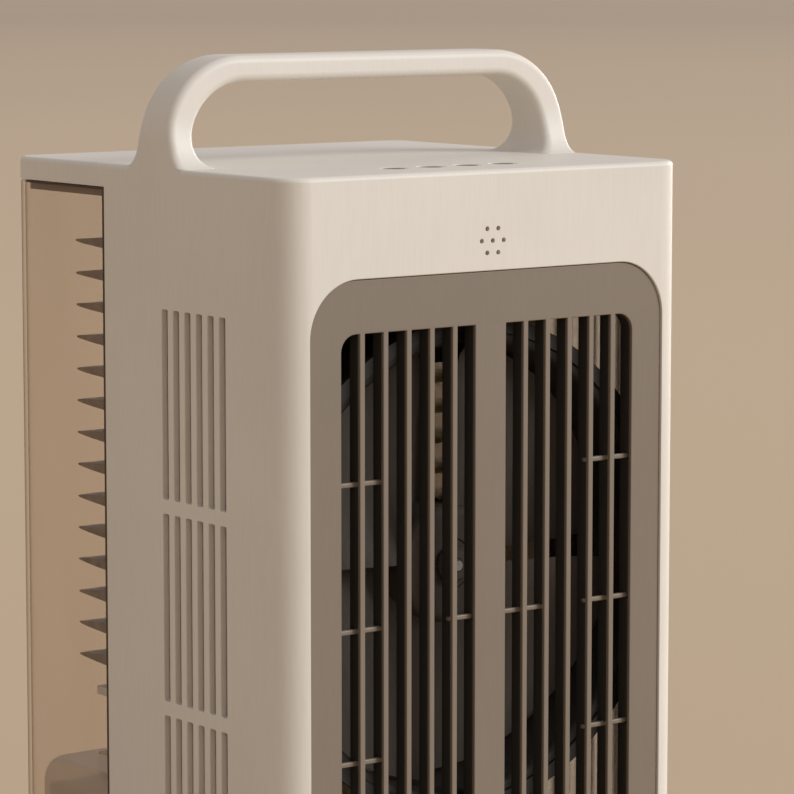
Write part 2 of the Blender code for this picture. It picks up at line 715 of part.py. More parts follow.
def blade(index):
    """One twisted blade, lofted from chords along its radius. It starts inside the hub's wall."""
    shape = bmesh.new()
    rings = []
    radii = [HUB_RADIUS - 2 * MM + (BLADE_TIP - HUB_RADIUS + 2 * MM) * i / 4 for i in range(5)]
    centre = math.radians(360 / BLADE_COUNT * (index + 0.5) + BLADE_REST)
    for radius in radii:
        reach = (radius - radii[0]) / (radii[-1] - radii[0])
        sweep = math.radians(BLADE_SPAN + 2 * math.sin(math.pi * reach)) / 2
        rise = (10.5 - 1.5 * reach) * MM
        loop = []
        for side in (-1, 1):
            for k in range(5):
                t = -1 + 2 * k / 4
                t = t if side < 0 else -t
                a = centre + sweep * t
                thick = (1.0 - 0.55 * abs(t)) * MM
                camber = 2.5 * MM * (1 - t * t)
                y = rise * t + camber + side * thick
                loop.append((radius * math.sin(a), y, radius * math.cos(a)))
        rings.append([shape.verts.new(p) for p in loop])
    for a, b in zip(rings, rings[1:]):
        for i in range(len(a)):
            j = (i + 1) % len(a)
            shape.faces.new((a[i], a[j], b[j], b[i]))
    shape.faces.new(rings[0])
    shape.faces.new(rings[-1])
    bmesh.ops.recalc_face_normals(shape, faces=shape.faces)
    mesh = bpy.data.meshes.new("blade")
    shape.to_mesh(mesh)
    shape.free()
    return put("blade", mesh, None, (0, depth_in(HUB_IN + HUB_LENGTH / 2), FAN_Z))


def impeller():
    """Hub with a domed nose, bored for the shaft, with its blades joined on."""
    bore = SHAFT_RADIUS + GAP
    profile = [(HUB_RADIUS - 5 * MM, 0), (HUB_RADIUS - 1.5 * MM, 1.5 * MM), (HUB_RADIUS, 5 * MM),
               (HUB_RADIUS, HUB_LENGTH), (bore, HUB_LENGTH), (bore, 0)]
    body = turned("impeller", DARK, "Y", (0, depth_in(HUB_IN), FAN_Z), profile[::-1], 28)
    for index in range(BLADE_COUNT):
        join(body, blade(index))
    return body


def hub_nut():
    profile = [(bore_r, h) for bore_r, h in ((9 * MM, 0), (9 * MM, -2 * MM), (7 * MM, -4.5 * MM),
               (SHAFT_RADIUS + GAP, -4.5 * MM), (SHAFT_RADIUS + GAP, 0))]
    start = (0, depth_in(HUB_IN) - GAP, FAN_Z)
    return turned("impeller_nut", DARK, "Y", start, profile, 16)


# Fasteners


def screws(name, axis, spots, head_start, shank_length, sign):
    """Pan-head screws, one node each. The shank runs along the axis with the given sign."""
    head, rim = 2.0 * MM, 2.9 * MM
    profile = [(0, head), (rim * 0.6, head), (rim, head * 0.5), (rim, 0), (SHANK, 0),
               (SHANK, -shank_length), (0, -shank_length)]
    if sign > 0:
        profile = [(r, -h) for r, h in reversed(profile)]
    for i, (x, other) in enumerate(spots):
        start = (x, head_start, other) if axis == "Y" else (x, other, head_start)
        turned(f"{name}_{i + 1}", STEEL, axis, start, profile, 10)


def all_screws():
    screws("shroud_screw", "Y", SHROUD_SCREWS, depth_in(SHROUD_IN) + WALL + GAP, 9 * MM, -1)
    screws("motor_screw", "Y", MOTOR_SCREWS, depth_in(BRACKET_IN) - GAP, 8 * MM, 1)
    screws("base_screw", "Z", BASE_SCREWS, FOOT_HEIGHT - GAP, 18 * MM, 1)


# Controls

CONTROL_Z = TOP - 15 * MM - GAP - BOARD_THICK
SWITCH_TOP = CONTROL_Z + BOARD_THICK + GAP + 4 * MM


def control_board():
    y, low, high = depth_in(BUTTON_IN), CONTROL_Z, CONTROL_Z + BOARD_THICK
    holes = [arc(side * CONTROL_SCREW_X, y, PILOT, PILOT, 0, 330, 11) for side in (-1, 1)]
    outline = rounded_rectangle(-50 * MM, 50 * MM, y - 11 * MM, y + 11 * MM, (2 * MM,) * 4, 2)
    return slab("control_board", BOARD, "XY", [outline, *holes], low, high)


def buttons():
    """Dished caps with a retaining flange below the top plate and a stem over each switch."""
    dish = [(0, -1.1 * MM), (4.8 * MM, -1.1 * MM), (5.6 * MM, -0.15 * MM)]
    rim = [(BUTTON_RADIUS, -0.15 * MM), (BUTTON_RADIUS, -WALL - GAP), (7.5 * MM, -WALL - GAP),
           (7.5 * MM, -WALL - 1.3 * MM), (2 * MM, -WALL - 1.3 * MM)]
    stem = [(2 * MM, SWITCH_TOP + 1.3 * MM - TOP), (0, SWITCH_TOP + 1.3 * MM - TOP)]
    for i in range(BUTTON_COUNT):
        turned(f"button_{i + 1}", CREAM, "Z", (button_x(i), depth_in(BUTTON_IN), TOP),
               dish + rim + stem, 20)
        low = CONTROL_Z + BOARD_THICK + GAP
        x, y, half = button_x(i), depth_in(BUTTON_IN), 3 * MM
        body = box(f"tact_switch_{i + 1}", STEEL, (x - half, y - half, low),
                   (x + half, y + half, SWITCH_TOP - MM))
        join(body, rod(f"plunger_{i}", None, "Z", (x, y, low + MM), 1.7 * MM, SWITCH_TOP - low - MM, 12))


def buzzer():
    profile = [(0, 6 * MM), (7 * MM, 6 * MM), (7 * MM, 0), (2 * MM, 0), (2 * MM, 1 * MM), (0, 1 * MM)]
    return turned("buzzer", DARK, "Y", (0, FRONT + WALL + GAP, down(SOUND_HOLE_DOWN)), profile, 24)


def driver_board():
    low, high = DRIVER_Z, DRIVER_Z + BOARD_THICK
    holes = [arc(x, y, PILOT, PILOT, 0, 330, 11) for x, y in DRIVER_POSTS]
    outline = rounded_rectangle(-56 * MM, 56 * MM, -46 * MM, 26 * MM, (3 * MM,) * 4, 2)
    body = slab("driver_board", BOARD, "XY", [outline, *holes], low, high)
    blocks = ((-30, -20, 16, 12, 12), (0, -24, 10, 10, 15), (26, -10, 14, 10, 9), (-8, 6, 22, 8, 6))
    for i, (x, y, wide, deep, tall) in enumerate(blocks):
        join(body, box(f"component_{i}", None, ((x - wide / 2) * MM, (y - deep / 2) * MM, low + 0.4 * MM),
                       ((x + wide / 2) * MM, (y + deep / 2) * MM, high + tall * MM)))
    return body


def power_inlet():
    """Flat inlet shell, open to the rear, with a tongue inside it."""
    body = box("power_inlet", BRASS, (-INLET_HALF, BACK - 10 * MM, INLET_Z - INLET_TALL / 2),
               (INLET_HALF, BACK - 0.5 * MM, INLET_Z + INLET_TALL / 2))
    cut(body, box("inlet_mouth", None, (-INLET_HALF + 0.5 * MM, BACK - 8 * MM,
                  INLET_Z - INLET_TALL / 2 + 0.5 * MM),
                  (INLET_HALF - 0.5 * MM, BACK + MM, INLET_Z + INLET_TALL / 2 - 0.5 * MM)))
    join(body, box("inlet_tongue", None, (-2.6 * MM, BACK - 9 * MM, INLET_Z - 0.4 * MM),
                   (2.6 * MM, BACK - 2 * MM, INLET_Z + 0.4 * MM)))
    return body


def feet():
    for i, (x, y) in enumerate(FEET):
        profile = [(8 * MM, FOOT_HEIGHT - GAP), (8 * MM, 0.8 * MM), (7.2 * MM, 0), (0, 0),
                   (0, FOOT_HEIGHT - GAP)]
        turned(f"foot_{i + 1}", RUBBER, "Z", (x, y, 0), profile, 20)


def side_filters():
    for name, side in (("left", -1), ("right", 1)):
        near, far = side * (INNER - GAP), side * (INNER - 1.5 * MM)
        box(f"side_filter_{name}", MESH, (min(near, far), depth_in(43 * MM), down(350 * MM)),
            (max(near, far), depth_in(101 * MM), down(59 * MM)))


# Seals between the body and the rear module


def seals():
    low, high = PLINTH_TOP + GAP, TOP - LID_HEIGHT
    outline = rounded_rectangle(-HALF + 0.6 * MM, HALF - 0.6 * MM, low + 0.6 * MM, high - GAP, (0,) * 4)
    hole = rounded_rectangle(-INNER, INNER, low + WALL, high - WALL, (0,) * 4)
    slab("body_seal", RUBBER, "XZ", [outline, hole], BODY_BACK + 0.2 * MM, depth_in(MODULE_IN) - 0.4 * MM)


# Rear module


def cover_outline(inset):
    """Plan of the module's cover, open to the front."""
    r = REAR_RADIUS - inset
    x, y = HALF - 0.2 * MM - inset, BACK - inset
    left = arc(-x + r, y - r, r, r, 180, 90)
    right = arc(x - r, y - r, r, r, 90, 0)
    return left + right, x


def clear_cover():
    outer, x_out = cover_outline(0)
    inner, x_in = cover_outline(COVER_WALL)
    front = depth_in(MODULE_IN)
    loop = [(-x_out, front), *outer, (x_out, front), (x_in, front), *reversed(inner), (-x_in, front)]
    low, high = PLINTH_TOP + 0.4 * MM, TOP - LID_HEIGHT - 0.6 * MM
    body = slab("clear_cover", SMOKE, "XY", [loop], low, high)
    floor = [(-x_out + MM, front), *cover_outline(MM)[0], (x_out - MM, front)]
    join(body, slab("cover_floor", None, "XY", [floor], low, low + COVER_WALL))
    return body


def water_tank():
    """Round-shouldered tank with a filler opening in its top."""
    low, high = PLINTH_TOP + 0.4 * MM + COVER_WALL + GAP, TANK_TOP
    x, y0, y1 = 112 * MM, depth_in(150 * MM), depth_in(220 * MM)
    outline = rounded_rectangle(-x, x, y0, y1, (8 * MM,) * 4, 5)
    body = slab("water_tank", TANK, "XY", [outline], low, high)
    round_top(body, high, 12 * MM, 5)
    inset = 2.5 * MM
    inner = rounded_rectangle(-x + inset, x - inset, y0 + inset, y1 - inset, (6 * MM,) * 4, 3)
    cut(body, slab("tank_hollow", None, "XY", [inner], low + inset, high - 14 * MM))
    mouth = rounded_rectangle(-x + 26 * MM, x - 26 * MM, y0 + 26 * MM, y1 - 11 * MM, (5 * MM,) * 4, 3)
    cut(body, slab("tank_mouth", None, "XY", [mouth], high - 20 * MM, high + MM))
    return body


RACK_IN = 147.6 * MM
RACK_STRIPS = (-98 * MM, -34 * MM, 34 * MM, 98 * MM)


def wick_rack():
    """Upright strips on a rail, which hold the wick fins by their roots."""
    front, back = depth_in(RACK_IN), depth_in(FIN_ROOT_IN) - GAP
    rail_low = down(257 * MM)
    body = box("wick_rack", CREAM, (-FIN_HALF, front, rail_low),
               (FIN_HALF, depth_in(165 * MM), rail_low + 4 * MM))
    for i, x in enumerate(RACK_STRIPS):
        join(body, box(f"strip_{i}", None, (x - 4 * MM, front + 0.1 * MM, TANK_TOP + GAP),
                       (x + 4 * MM, back, down(26 * MM))))
    for side in (-1, 1):
        low, high = sorted((side * 90 * MM, side * 98 * MM))
        join(body, box(f"leg_{side}", None, (low, depth_in(156 * MM), TANK_TOP + GAP),
                       (high, depth_in(163 * MM), rail_low + MM)))
    return body


def wick_fins():
    """Wedge-shaped fins, thick at the root and thin at the tip, one above the other."""
    root, tip = depth_in(FIN_ROOT_IN), depth_in(FIN_TIP_IN)
    for i in range(FIN_COUNT):
        z = down(FIN_FIRST_DOWN + i * FIN_PITCH)
        nose = arc(tip - 1.3 * MM, z, 1.3 * MM, 1.3 * MM, -80, 80, 4)
        loop = [(root, z - 3 * MM), *nose, (root, z + 3 * MM)]
        slab(f"wick_fin_{i + 1:02d}", WICK, "YZ", [loop], -FIN_HALF, FIN_HALF)


def leads():
    """Leads inside the body: inlet to driver board, and driver board to motor."""
    tube("inlet_lead", RUBBER, [(0, BACK - 10.4 * MM, INLET_Z), (0, 80 * MM, INLET_Z),
         (0, 50 * MM, INLET_Z), (0, 31 * MM, INLET_Z), (0, 21 * MM, 13.5 * MM), (0, 18 * MM, 18.6 * MM)], 1.2 * MM)
    motor_back = depth_in(MOTOR_IN + MOTOR_LENGTH)
    tube("motor_lead", RUBBER, [(10 * MM, 16 * MM, DRIVER_Z + BOARD_THICK + GAP), (10 * MM, 17 * MM, 50 * MM),
         (8 * MM, 20 * MM, 110 * MM), (6 * MM, 12 * MM, 180 * MM), (6 * MM, 0, FAN_Z - 14 * MM),
         (6 * MM, motor_back + GAP, FAN_Z - 14 * MM)], 1.5 * MM)


def build():
    housing()
    base()
    front_bezel()
    grille_insert()
    shroud_plate()
    fan_ring()
    motor_bracket()
    motor()
    motor_shaft()
    impeller()
    hub_nut()
    control_board()
    buttons()
    buzzer()
    driver_board()
    power_inlet()
    feet()
    side_filters()
    seals()
    clear_cover()
    water_tank()
    wick_rack()
    wick_fins()
    leads()
    all_screws()


build()
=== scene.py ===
"""Visual model of a box-shaped evaporative desk fan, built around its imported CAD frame.

X runs to the right seen from the front, Y from the front to the back, +Z up. Lengths are metres.
Depths named "..._IN" are measured behind the front face, heights "..._DOWN" below the top plate.
"""

import json
import math

import bmesh
import bpy
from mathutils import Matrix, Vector, geometry, noise


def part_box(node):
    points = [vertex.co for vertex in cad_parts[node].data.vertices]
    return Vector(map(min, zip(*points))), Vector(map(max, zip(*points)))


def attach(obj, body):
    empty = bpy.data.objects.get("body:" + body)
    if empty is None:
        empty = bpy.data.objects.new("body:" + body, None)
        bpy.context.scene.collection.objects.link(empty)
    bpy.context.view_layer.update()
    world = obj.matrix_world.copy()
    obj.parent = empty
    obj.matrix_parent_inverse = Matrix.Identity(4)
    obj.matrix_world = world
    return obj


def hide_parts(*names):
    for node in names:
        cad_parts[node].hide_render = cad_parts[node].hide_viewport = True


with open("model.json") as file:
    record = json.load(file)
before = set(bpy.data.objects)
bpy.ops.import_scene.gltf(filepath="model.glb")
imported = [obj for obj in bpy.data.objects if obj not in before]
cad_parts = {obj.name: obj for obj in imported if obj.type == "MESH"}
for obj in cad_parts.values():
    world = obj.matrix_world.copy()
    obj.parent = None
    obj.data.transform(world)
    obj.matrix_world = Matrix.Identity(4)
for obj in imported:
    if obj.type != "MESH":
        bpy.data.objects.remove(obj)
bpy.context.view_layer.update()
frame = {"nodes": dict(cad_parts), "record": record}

MM = 0.001
SLOT_OF = {row["node"]: row["material_slot"] for row in frame["record"]["subparts"]}

# Places read from the frame

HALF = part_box("housing")[1].x - 0.001 * MM
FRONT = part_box("housing")[0].y
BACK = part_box("housing")[1].y
FOOT_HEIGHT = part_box("base")[0].z
PLINTH_TOP = FOOT_HEIGHT + 12 * MM
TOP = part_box("housing")[1].z - 51 * MM
BODY_BACK = FRONT + 146 * MM
WALL = 3 * MM
INNER = HALF - WALL
GAP = 0.3 * MM
LID_HEIGHT = 11 * MM
FRONT_RADIUS, REAR_RADIUS, EDGE_ROUND = 16 * MM, 10 * MM, 2.4 * MM


def depth_in(distance):
    return FRONT + distance


def down(distance):
    return TOP - distance


# Shapes


def arc(cx, cy, rx, ry, start, stop, steps):
    """Points of an elliptical arc, angles in degrees."""
    angles = [math.radians(start + (stop - start) * i / steps) for i in range(steps + 1)]
    return [(cx + rx * math.cos(a), cy + ry * math.sin(a)) for a in angles]


def circle(x, y, radius, sides):
    return arc(x, y, radius, radius, 0, 360 - 360 / sides, sides - 1)


def polar(radius, degrees):
    """A point at an angle on a circle round the origin."""
    a = math.radians(degrees)
    return radius * math.cos(a), radius * math.sin(a)


def rectangle(x0, x1, y0, y1, radii, steps=12):
    """Outline of a rectangle. radii is one corner radius, or four counter-clockwise from the low corner."""
    points = []
    if not isinstance(radii, tuple):
        radii = (radii,) * 4
    corners = ((x0, y0, 1, 1, 180), (x1, y0, -1, 1, 270), (x1, y1, -1, -1, 0), (x0, y1, 1, -1, 90))
    for (x, y, sx, sy, start), radius in zip(corners, radii):
        if radius > 0:
            points += arc(x + sx * radius, y + sy * radius, radius, radius, start, start + 90, steps)
        else:
            points.append((x, y))
    return points


def put(name, mesh):
    obj = bpy.data.objects.new(name, mesh)
    bpy.context.scene.collection.objects.link(obj)
    return obj


def solid(name, points, faces):
    """An object from points and faces, with its normals facing out."""
    shape = bmesh.new()
    verts = [shape.verts.new(p) for p in points]
    for face in faces:
        shape.faces.new([verts[i] for i in face])
    bmesh.ops.remove_doubles(shape, verts=shape.verts, dist=1e-7)
    bmesh.ops.recalc_face_normals(shape, faces=shape.faces)
    mesh = bpy.data.meshes.new(name)
    shape.to_mesh(mesh)
    shape.free()
    return put(name, mesh)


PLACE = {
    "XY": lambda u, v, w: (u, v, w),
    "XZ": lambda u, v, w: (u, w, v),
    "YZ": lambda u, v, w: (w, u, v),
}


def plate(name, plane, outlines, levels):
    """A flat shape with holes, raised through (position, growth) levels along its normal.
    outlines(growth) gives the outer loop and then the holes."""
    points, faces, rows = [], [], []
    for position, growth in levels:
        row = []
        for loop in outlines(growth):
            row.append(range(len(points), len(points) + len(loop)))
            points += [PLACE[plane](u, v, position) for u, v in loop]
        rows.append(row)
    for lower, upper in zip(rows, rows[1:]):
        for a, b in zip(lower, upper):
            count = len(a)
            faces += [(a[i], a[(i + 1) % count], b[(i + 1) % count], b[i]) for i in range(count)]
    for row, (_, growth) in ((rows[0], levels[0]), (rows[-1], levels[-1])):
        loops = outlines(growth)
        index = [i for loop in row for i in loop]
        flat = geometry.tessellate_polygon([[Vector((u, v, 0)) for u, v in loop] for loop in loops])
        faces += [tuple(index[i] for i in triangle) for triangle in flat]
    return solid(name, points, faces)


def rounding(start, radius, direction, steps=4):
    """Levels of a quarter round that starts at a flat face and runs in a direction."""
    levels = []
    for i in range(steps + 1):
        a = math.radians(90 * i / steps)
        levels.append((start + direction * radius * (1 - math.cos(a)), -radius * (1 - math.sin(a))))
    return levels


def eased(edge, direction, size, part):
    """Levels of a small two-step edge break that starts at a flat face."""
    return [(edge, -size), (edge + direction * part, -part), (edge + direction * size, 0)]


def fixed(*loops):
    """Outlines that don't grow."""
    return lambda growth: loops


def lathe(name, axis, start, profile, segments=64, closed=True):
    """A body of revolution about Y or Z. The profile is (radius, height) points, a loop if closed."""
    sx, sy, sz = start
    points, rings = [], []
    for radius, height in profile:
        count = segments if radius > 1e-9 else 1
        rings.append(range(len(points), len(points) + count))
        for i in range(count):
            a = 2 * math.pi * i / segments
            u, v = radius * math.cos(a), radius * math.sin(a)
            x, y, z = (u, height, v) if axis == "Y" else (u, v, height)
            points.append((x + sx, y + sy, z + sz))
    faces = []
    pairs = list(zip(rings, rings[1:])) + ([(rings[-1], rings[0])] if closed else [])
    for a, b in pairs:
        for i in range(segments):
            j = (i + 1) % segments
            corners = [a[i % len(a)], a[j % len(a)], b[j % len(b)], b[i % len(b)]]
            corners = list(dict.fromkeys(corners))
            if len(corners) > 2:
                faces.append(tuple(corners))
    return solid(name, points, faces)


def loft(name, rings):
    """A skin over closed rings with equal point counts, capped at both ends."""
    count = len(rings[0])
    points = [p for ring in rings for p in ring]
    faces = [tuple(range(count)), tuple(range(len(points) - count, len(points)))]
    for k in range(len(rings) - 1):
        for i in range(count):
            j = (i + 1) % count
            faces.append((k * count + i, k * count + j, (k + 1) * count + j, (k + 1) * count + i))
    return solid(name, points, faces)


def rod(name, axis, start, radius, length, sides=32):
    return lathe(name, axis, start, [(0, 0), (radius, 0), (radius, length), (0, length)], sides, False)


def block(name, low, high):
    outline = [(low[0], low[1]), (high[0], low[1]), (high[0], high[1]), (low[0], high[1])]
    return plate(name, "XY", fixed(outline), [(low[2], 0), (high[2], 0)])


def together(name, objects):
    """Several objects as one object."""
    shape = bmesh.new()
    for obj in objects:
        shape.from_mesh(obj.data)
        bpy.data.objects.remove(obj)
    mesh = bpy.data.meshes.new(name)
    shape.to_mesh(mesh)
    shape.free()
    return put(name, mesh)


def carve(obj, tool, operation="DIFFERENCE"):
    """Applies an exact Boolean with a tool, which is then removed."""
    step = obj.modifiers.new("carve", "BOOLEAN")
    step.operation, step.solver, step.object = operation, "EXACT", tool
    bpy.context.view_layer.update()
    graph = bpy.context.evaluated_depsgraph_get()
    made = bpy.data.meshes.new_from_object(obj.evaluated_get(graph))
    obj.modifiers.clear()
    obj.data = made
    bpy.data.objects.remove(tool)
    return obj


def bevel(obj, width, segments=2, angle=40):
    step = obj.modifiers.new("edges", "BEVEL")
    step.width, step.segments, step.limit_method = width, segments, "ANGLE"
    step.angle_limit = math.radians(angle)
    return obj


# Materials

MIX_FIRST, MIX_SECOND, MIX_RESULT = 6, 7, 2  # the colour sockets of a Mix node


def tree_of(name):
    paint = bpy.data.materials.new(name)
    paint.use_nodes = True
    tree = paint.node_tree
    return paint, tree, tree.nodes["Principled BSDF"]


def feed(tree, target, values):
    """Sets a node's inputs to constants, or links them to other nodes' outputs."""
    for key, value in values.items():
        if isinstance(value, bpy.types.NodeSocket):
            tree.links.new(value, target.inputs[key])
        else:
            target.inputs[key].default_value = value


def node(tree, kind, values=(), **settings):
    made = tree.nodes.new(kind)
    for key, value in settings.items():
        setattr(made, key, value)
    feed(tree, made, dict(values))
    return made


def places(tree):
    return node(tree, "ShaderNodeTexCoord").outputs["Object"]


def field(tree, scale, detail=2.0, stretch=(1, 1, 1), roughness=0.5):
    """Noise over the object's own coordinates, with scale in cycles per metre."""
    turn = node(tree, "ShaderNodeMapping", {"Vector": places(tree), "Scale": stretch})
    return node(tree, "ShaderNodeTexNoise", {"Vector": turn.outputs["Vector"], "Scale": scale,
                                             "Detail": detail, "Roughness": roughness}).outputs["Fac"]


def remap(tree, value, low, high, start=0.3, stop=0.7):
    return node(tree, "ShaderNodeMapRange", {"Value": value, "From Min": start, "From Max": stop,
                                             "To Min": low, "To Max": high}).outputs["Result"]


def maths(tree, operation, a, b):
    return node(tree, "ShaderNodeMath", {0: a, 1: b}, operation=operation).outputs["Value"]


def shade(tree, fac, dark, light):
    """A colour between two, by a value from 0 to 1."""
    values = {"Factor": fac, MIX_FIRST: (*dark, 1), MIX_SECOND: (*light, 1)}
    return node(tree, "ShaderNodeMix", values, data_type="RGBA").outputs[MIX_RESULT]


def blended(tree, fac, first, second):
    """Shader output that mixes two others."""
    return node(tree, "ShaderNodeMixShader", {"Fac": fac, 1: first, 2: second}).outputs["Shader"]


def bumped(tree, bsdf, height, strength, distance):
    made = node(tree, "ShaderNodeBump", {"Height": height, "Strength": strength, "Distance": distance})
    feed(tree, bsdf, {"Normal": made.outputs["Normal"]})


def scaled(colour, factor):
    return tuple(min(c * factor, 1.0) for c in colour)


def moulded(name, colour, roughness, spread):
    """Moulded plastic: a faint cloudiness, a fine spark-eroded grain and fine upright streaks."""
    paint, tree, bsdf = tree_of(name)
    lines = field(tree, 1, 2, (900, 900, 55), 0.6)
    grains = field(tree, 2600)
    fac = remap(tree, maths(tree, "ADD", field(tree, 14), lines), 0, 1, 0.75, 1.25)
    feed(tree, bsdf, {"Base Color": shade(tree, fac, scaled(colour, 1 - spread), scaled(colour, 1 + spread)),
                      "Roughness": remap(tree, grains, roughness - 0.05, roughness + 0.05)})
    height = maths(tree, "ADD", maths(tree, "MULTIPLY", grains, 0.25), maths(tree, "MULTIPLY", lines, 0.3))
    bumped(tree, bsdf, height, 0.5, 0.00006)
    return paint


def felt(name, dark, light):
    """Dense fibre pad."""
    paint, tree, bsdf = tree_of(name)
    fibres = field(tree, 1, 4, (500, 1500, 1500), 0.7)
    fac = remap(tree, maths(tree, "ADD", fibres, field(tree, 160, 3)), 0, 1, 0.75, 1.25)
    feed(tree, bsdf, {"Base Color": shade(tree, fac, dark, light), "Roughness": 0.9, "Sheen Weight": 0.3})
    bumped(tree, bsdf, fibres, 0.8, 0.0004)
    return paint


def woven(name, dark, light, openness):
    """Translucent dust mesh with a plain weave. openness is the share that is see-through."""
    paint, tree, bsdf = tree_of(name)
    waves = [node(tree, "ShaderNodeTexWave", {"Vector": places(tree), "Scale": 260.0},
                  bands_direction=axis).outputs["Fac"] for axis in ("Y", "Z")]
    cloth = maths(tree, "MULTIPLY", *waves)
    fac = remap(tree, maths(tree, "ADD", cloth, field(tree, 220, 3)), 0, 1, 0.3, 1.4)
    colour = shade(tree, fac, dark, light)
    feed(tree, bsdf, {"Base Color": colour, "Roughness": 0.85})
    bumped(tree, bsdf, cloth, 0.6, 0.0003)
    through = node(tree, "ShaderNodeBsdfTranslucent", {"Color": colour}).outputs["BSDF"]
    threads = blended(tree, 0.55, bsdf.outputs["BSDF"], through)
    pores = node(tree, "ShaderNodeBsdfTransparent").outputs["BSDF"]
    feed(tree, tree.nodes["Material Output"], {"Surface": blended(tree, openness, threads, pores)})
    return paint


def clear(name, face_tint, edge_tint, roughness, haze):
    """Thin clear plastic: tinted see-through, darker at a glancing angle, with a gloss and a haze."""
    paint, tree, bsdf = tree_of(name)
    facing = node(tree, "ShaderNodeLayerWeight", {"Blend": 0.5}).outputs["Facing"]
    cloud = field(tree, 22, 2, (1, 1, 0.4))
    glance = maths(tree, "MULTIPLY", maths(tree, "POWER", facing, 2.6), remap(tree, cloud, 0.85, 1.15))
    see = node(tree, "ShaderNodeBsdfTransparent", {"Color": shade(tree, glance, face_tint, edge_tint)})
    feed(tree, bsdf, {"Base Color": shade(tree, cloud, scaled(edge_tint, 0.8), edge_tint),
                      "Roughness": remap(tree, field(tree, 900), roughness, roughness + 0.06)})
    bumped(tree, bsdf, field(tree, 60), 0.15, 0.0004)
    gloss = maths(tree, "MULTIPLY", maths(tree, "POWER", facing, 5.0), 0.7)
    surface = blended(tree, maths(tree, "ADD", gloss, haze), see.outputs["BSDF"], bsdf.outputs["BSDF"])
    feed(tree, tree.nodes["Material Output"], {"Surface": surface})
    return paint


def metal(name, colour, roughness, stretch):
    """Metal with a fine brushed grain."""
    paint, tree, bsdf = tree_of(name)
    brush = field(tree, 1, 3, stretch, 0.6)
    feed(tree, bsdf, {"Base Color": shade(tree, brush, scaled(colour, 0.85), scaled(colour, 1.1)),
                      "Roughness": remap(tree, brush, roughness - 0.08, roughness + 0.08),
                      "Metallic": 1.0})
    bumped(tree, bsdf, brush, 0.2, 0.00005)
    return paint


def circuit(name):
    """Solder mask with faint copper runs below it."""
    paint, tree, bsdf = tree_of(name)
    runs = node(tree, "ShaderNodeTexBrick", {
        "Vector": places(tree), "Scale": 90.0, "Mortar Size": 0.035, "Color1": (0.02, 0.11, 0.05, 1),
        "Color2": (0.025, 0.13, 0.06, 1), "Mortar": (0.06, 0.22, 0.08, 1)})
    feed(tree, bsdf, {"Base Color": runs.outputs["Color"],
                      "Roughness": remap(tree, field(tree, 400), 0.25, 0.4)})
    bumped(tree, bsdf, runs.outputs["Fac"], 0.3, 0.0001)
    return paint


PAINTS = {
    "cream": moulded("cream_plastic", (0.70, 0.640, 0.560), 0.5, 0.025),
    "taupe": moulded("taupe_plastic", (0.208, 0.162, 0.118), 0.45, 0.03),
    "dark": moulded("dark_plastic", (0.034, 0.028, 0.022), 0.65, 0.12),
    "clear": clear("clear_cover_plastic", (0.994, 0.975, 0.958), (0.50, 0.43, 0.35), 0.08, 0.03),
    "tank": clear("smoked_tank_plastic", (0.96, 0.93, 0.90), (0.85, 0.76, 0.66), 0.3, 0.42),
    "wick": felt("wick_felt", (0.19, 0.145, 0.11), (0.33, 0.26, 0.20)),
    "steel": metal("zinc_plated_steel", (0.55, 0.54, 0.52), 0.35, (800, 800, 120)),
    "rubber": moulded("matte_rubber", (0.022, 0.020, 0.018), 0.75, 0.15),
    "board": circuit("circuit_board"),
    "brass": metal("plated_shell", (0.62, 0.55, 0.40), 0.3, (120, 900, 900)),
    "filter": woven("dust_mesh", (0.82, 0.74, 0.66), (0.98, 0.92, 0.84), 0.0),
}
ROTOR = moulded("rotor_plastic", (0.100, 0.080, 0.062), 0.7, 0.10)
FRAME_BROWN = moulded("brown_frame_plastic", (0.27, 0.20, 0.150), 0.5, 0.08)
# Dark brown for the side seals, which are real dark joints, and for the strip under the lid, which is
# painted shadow.
SEAL_AND_SHADOW_BROWN = moulded("brown_seal_and_shadow_rubber", (0.075, 0.046, 0.030), 0.7, 0.1)
SCREEN = woven("golden_mesh", (0.42, 0.33, 0.20), (0.80, 0.66, 0.42), 0.4)
FOAM = felt("foam_gasket", (0.012, 0.011, 0.010), (0.03, 0.027, 0.025))
WATER = clear("water", (0.97, 0.98, 0.98), (0.80, 0.86, 0.87), 0.02, 0.02)


def piece(obj, slot, body="body", replaces=(), paint=None, angle=35):
    """Gives a piece its material, shading, body and the CAD nodes it stands for."""
    obj.data.materials.clear()
    obj.data.materials.append(paint or PAINTS[slot])
    obj.data.shade_smooth()
    obj.data.set_sharp_from_angle(angle=math.radians(angle))
    step = obj.modifiers.new("even shading", "WEIGHTED_NORMAL")
    step.keep_sharp = True
    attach(obj, body)
    if replaces:
        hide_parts(*replaces)
    return obj


# Outlines shared by the pieces

BEZEL_HALF, BEZEL_TOP_DOWN, BEZEL_BOTTOM_DOWN = 102.7 * MM, 46.8 * MM, 361 * MM
BEZEL_RADIUS, BEZEL_RECESS, BEZEL_THICK, BEZEL_RIM = 26 * MM, 1.2 * MM, 1.6 * MM, 5 * MM
FIELD_HALF, FIELD_TOP_DOWN, FIELD_BOTTOM_DOWN, FIELD_RADIUS = 85.2 * MM, 71.2 * MM, 337 * MM, 8 * MM
MULLION_HALF, BAR_WIDTH, FIN_WIDTH, BARS_PER_SIDE = 9 * MM, 2.9 * MM, 2.4 * MM, 5
RIB_IN, RIB_SIZE = 4.5 * MM, 2.4 * MM


def plan_outline(growth, front=FRONT, back=BACK, rear_radius=REAR_RADIUS):
    """Plan of the body, with large front corners and smaller rear corners."""
    radii = (FRONT_RADIUS + growth,) * 2 + (rear_radius + growth if rear_radius else 0,) * 2
    return rectangle(-HALF - growth, HALF + growth, front - growth, back + growth, radii, 20)


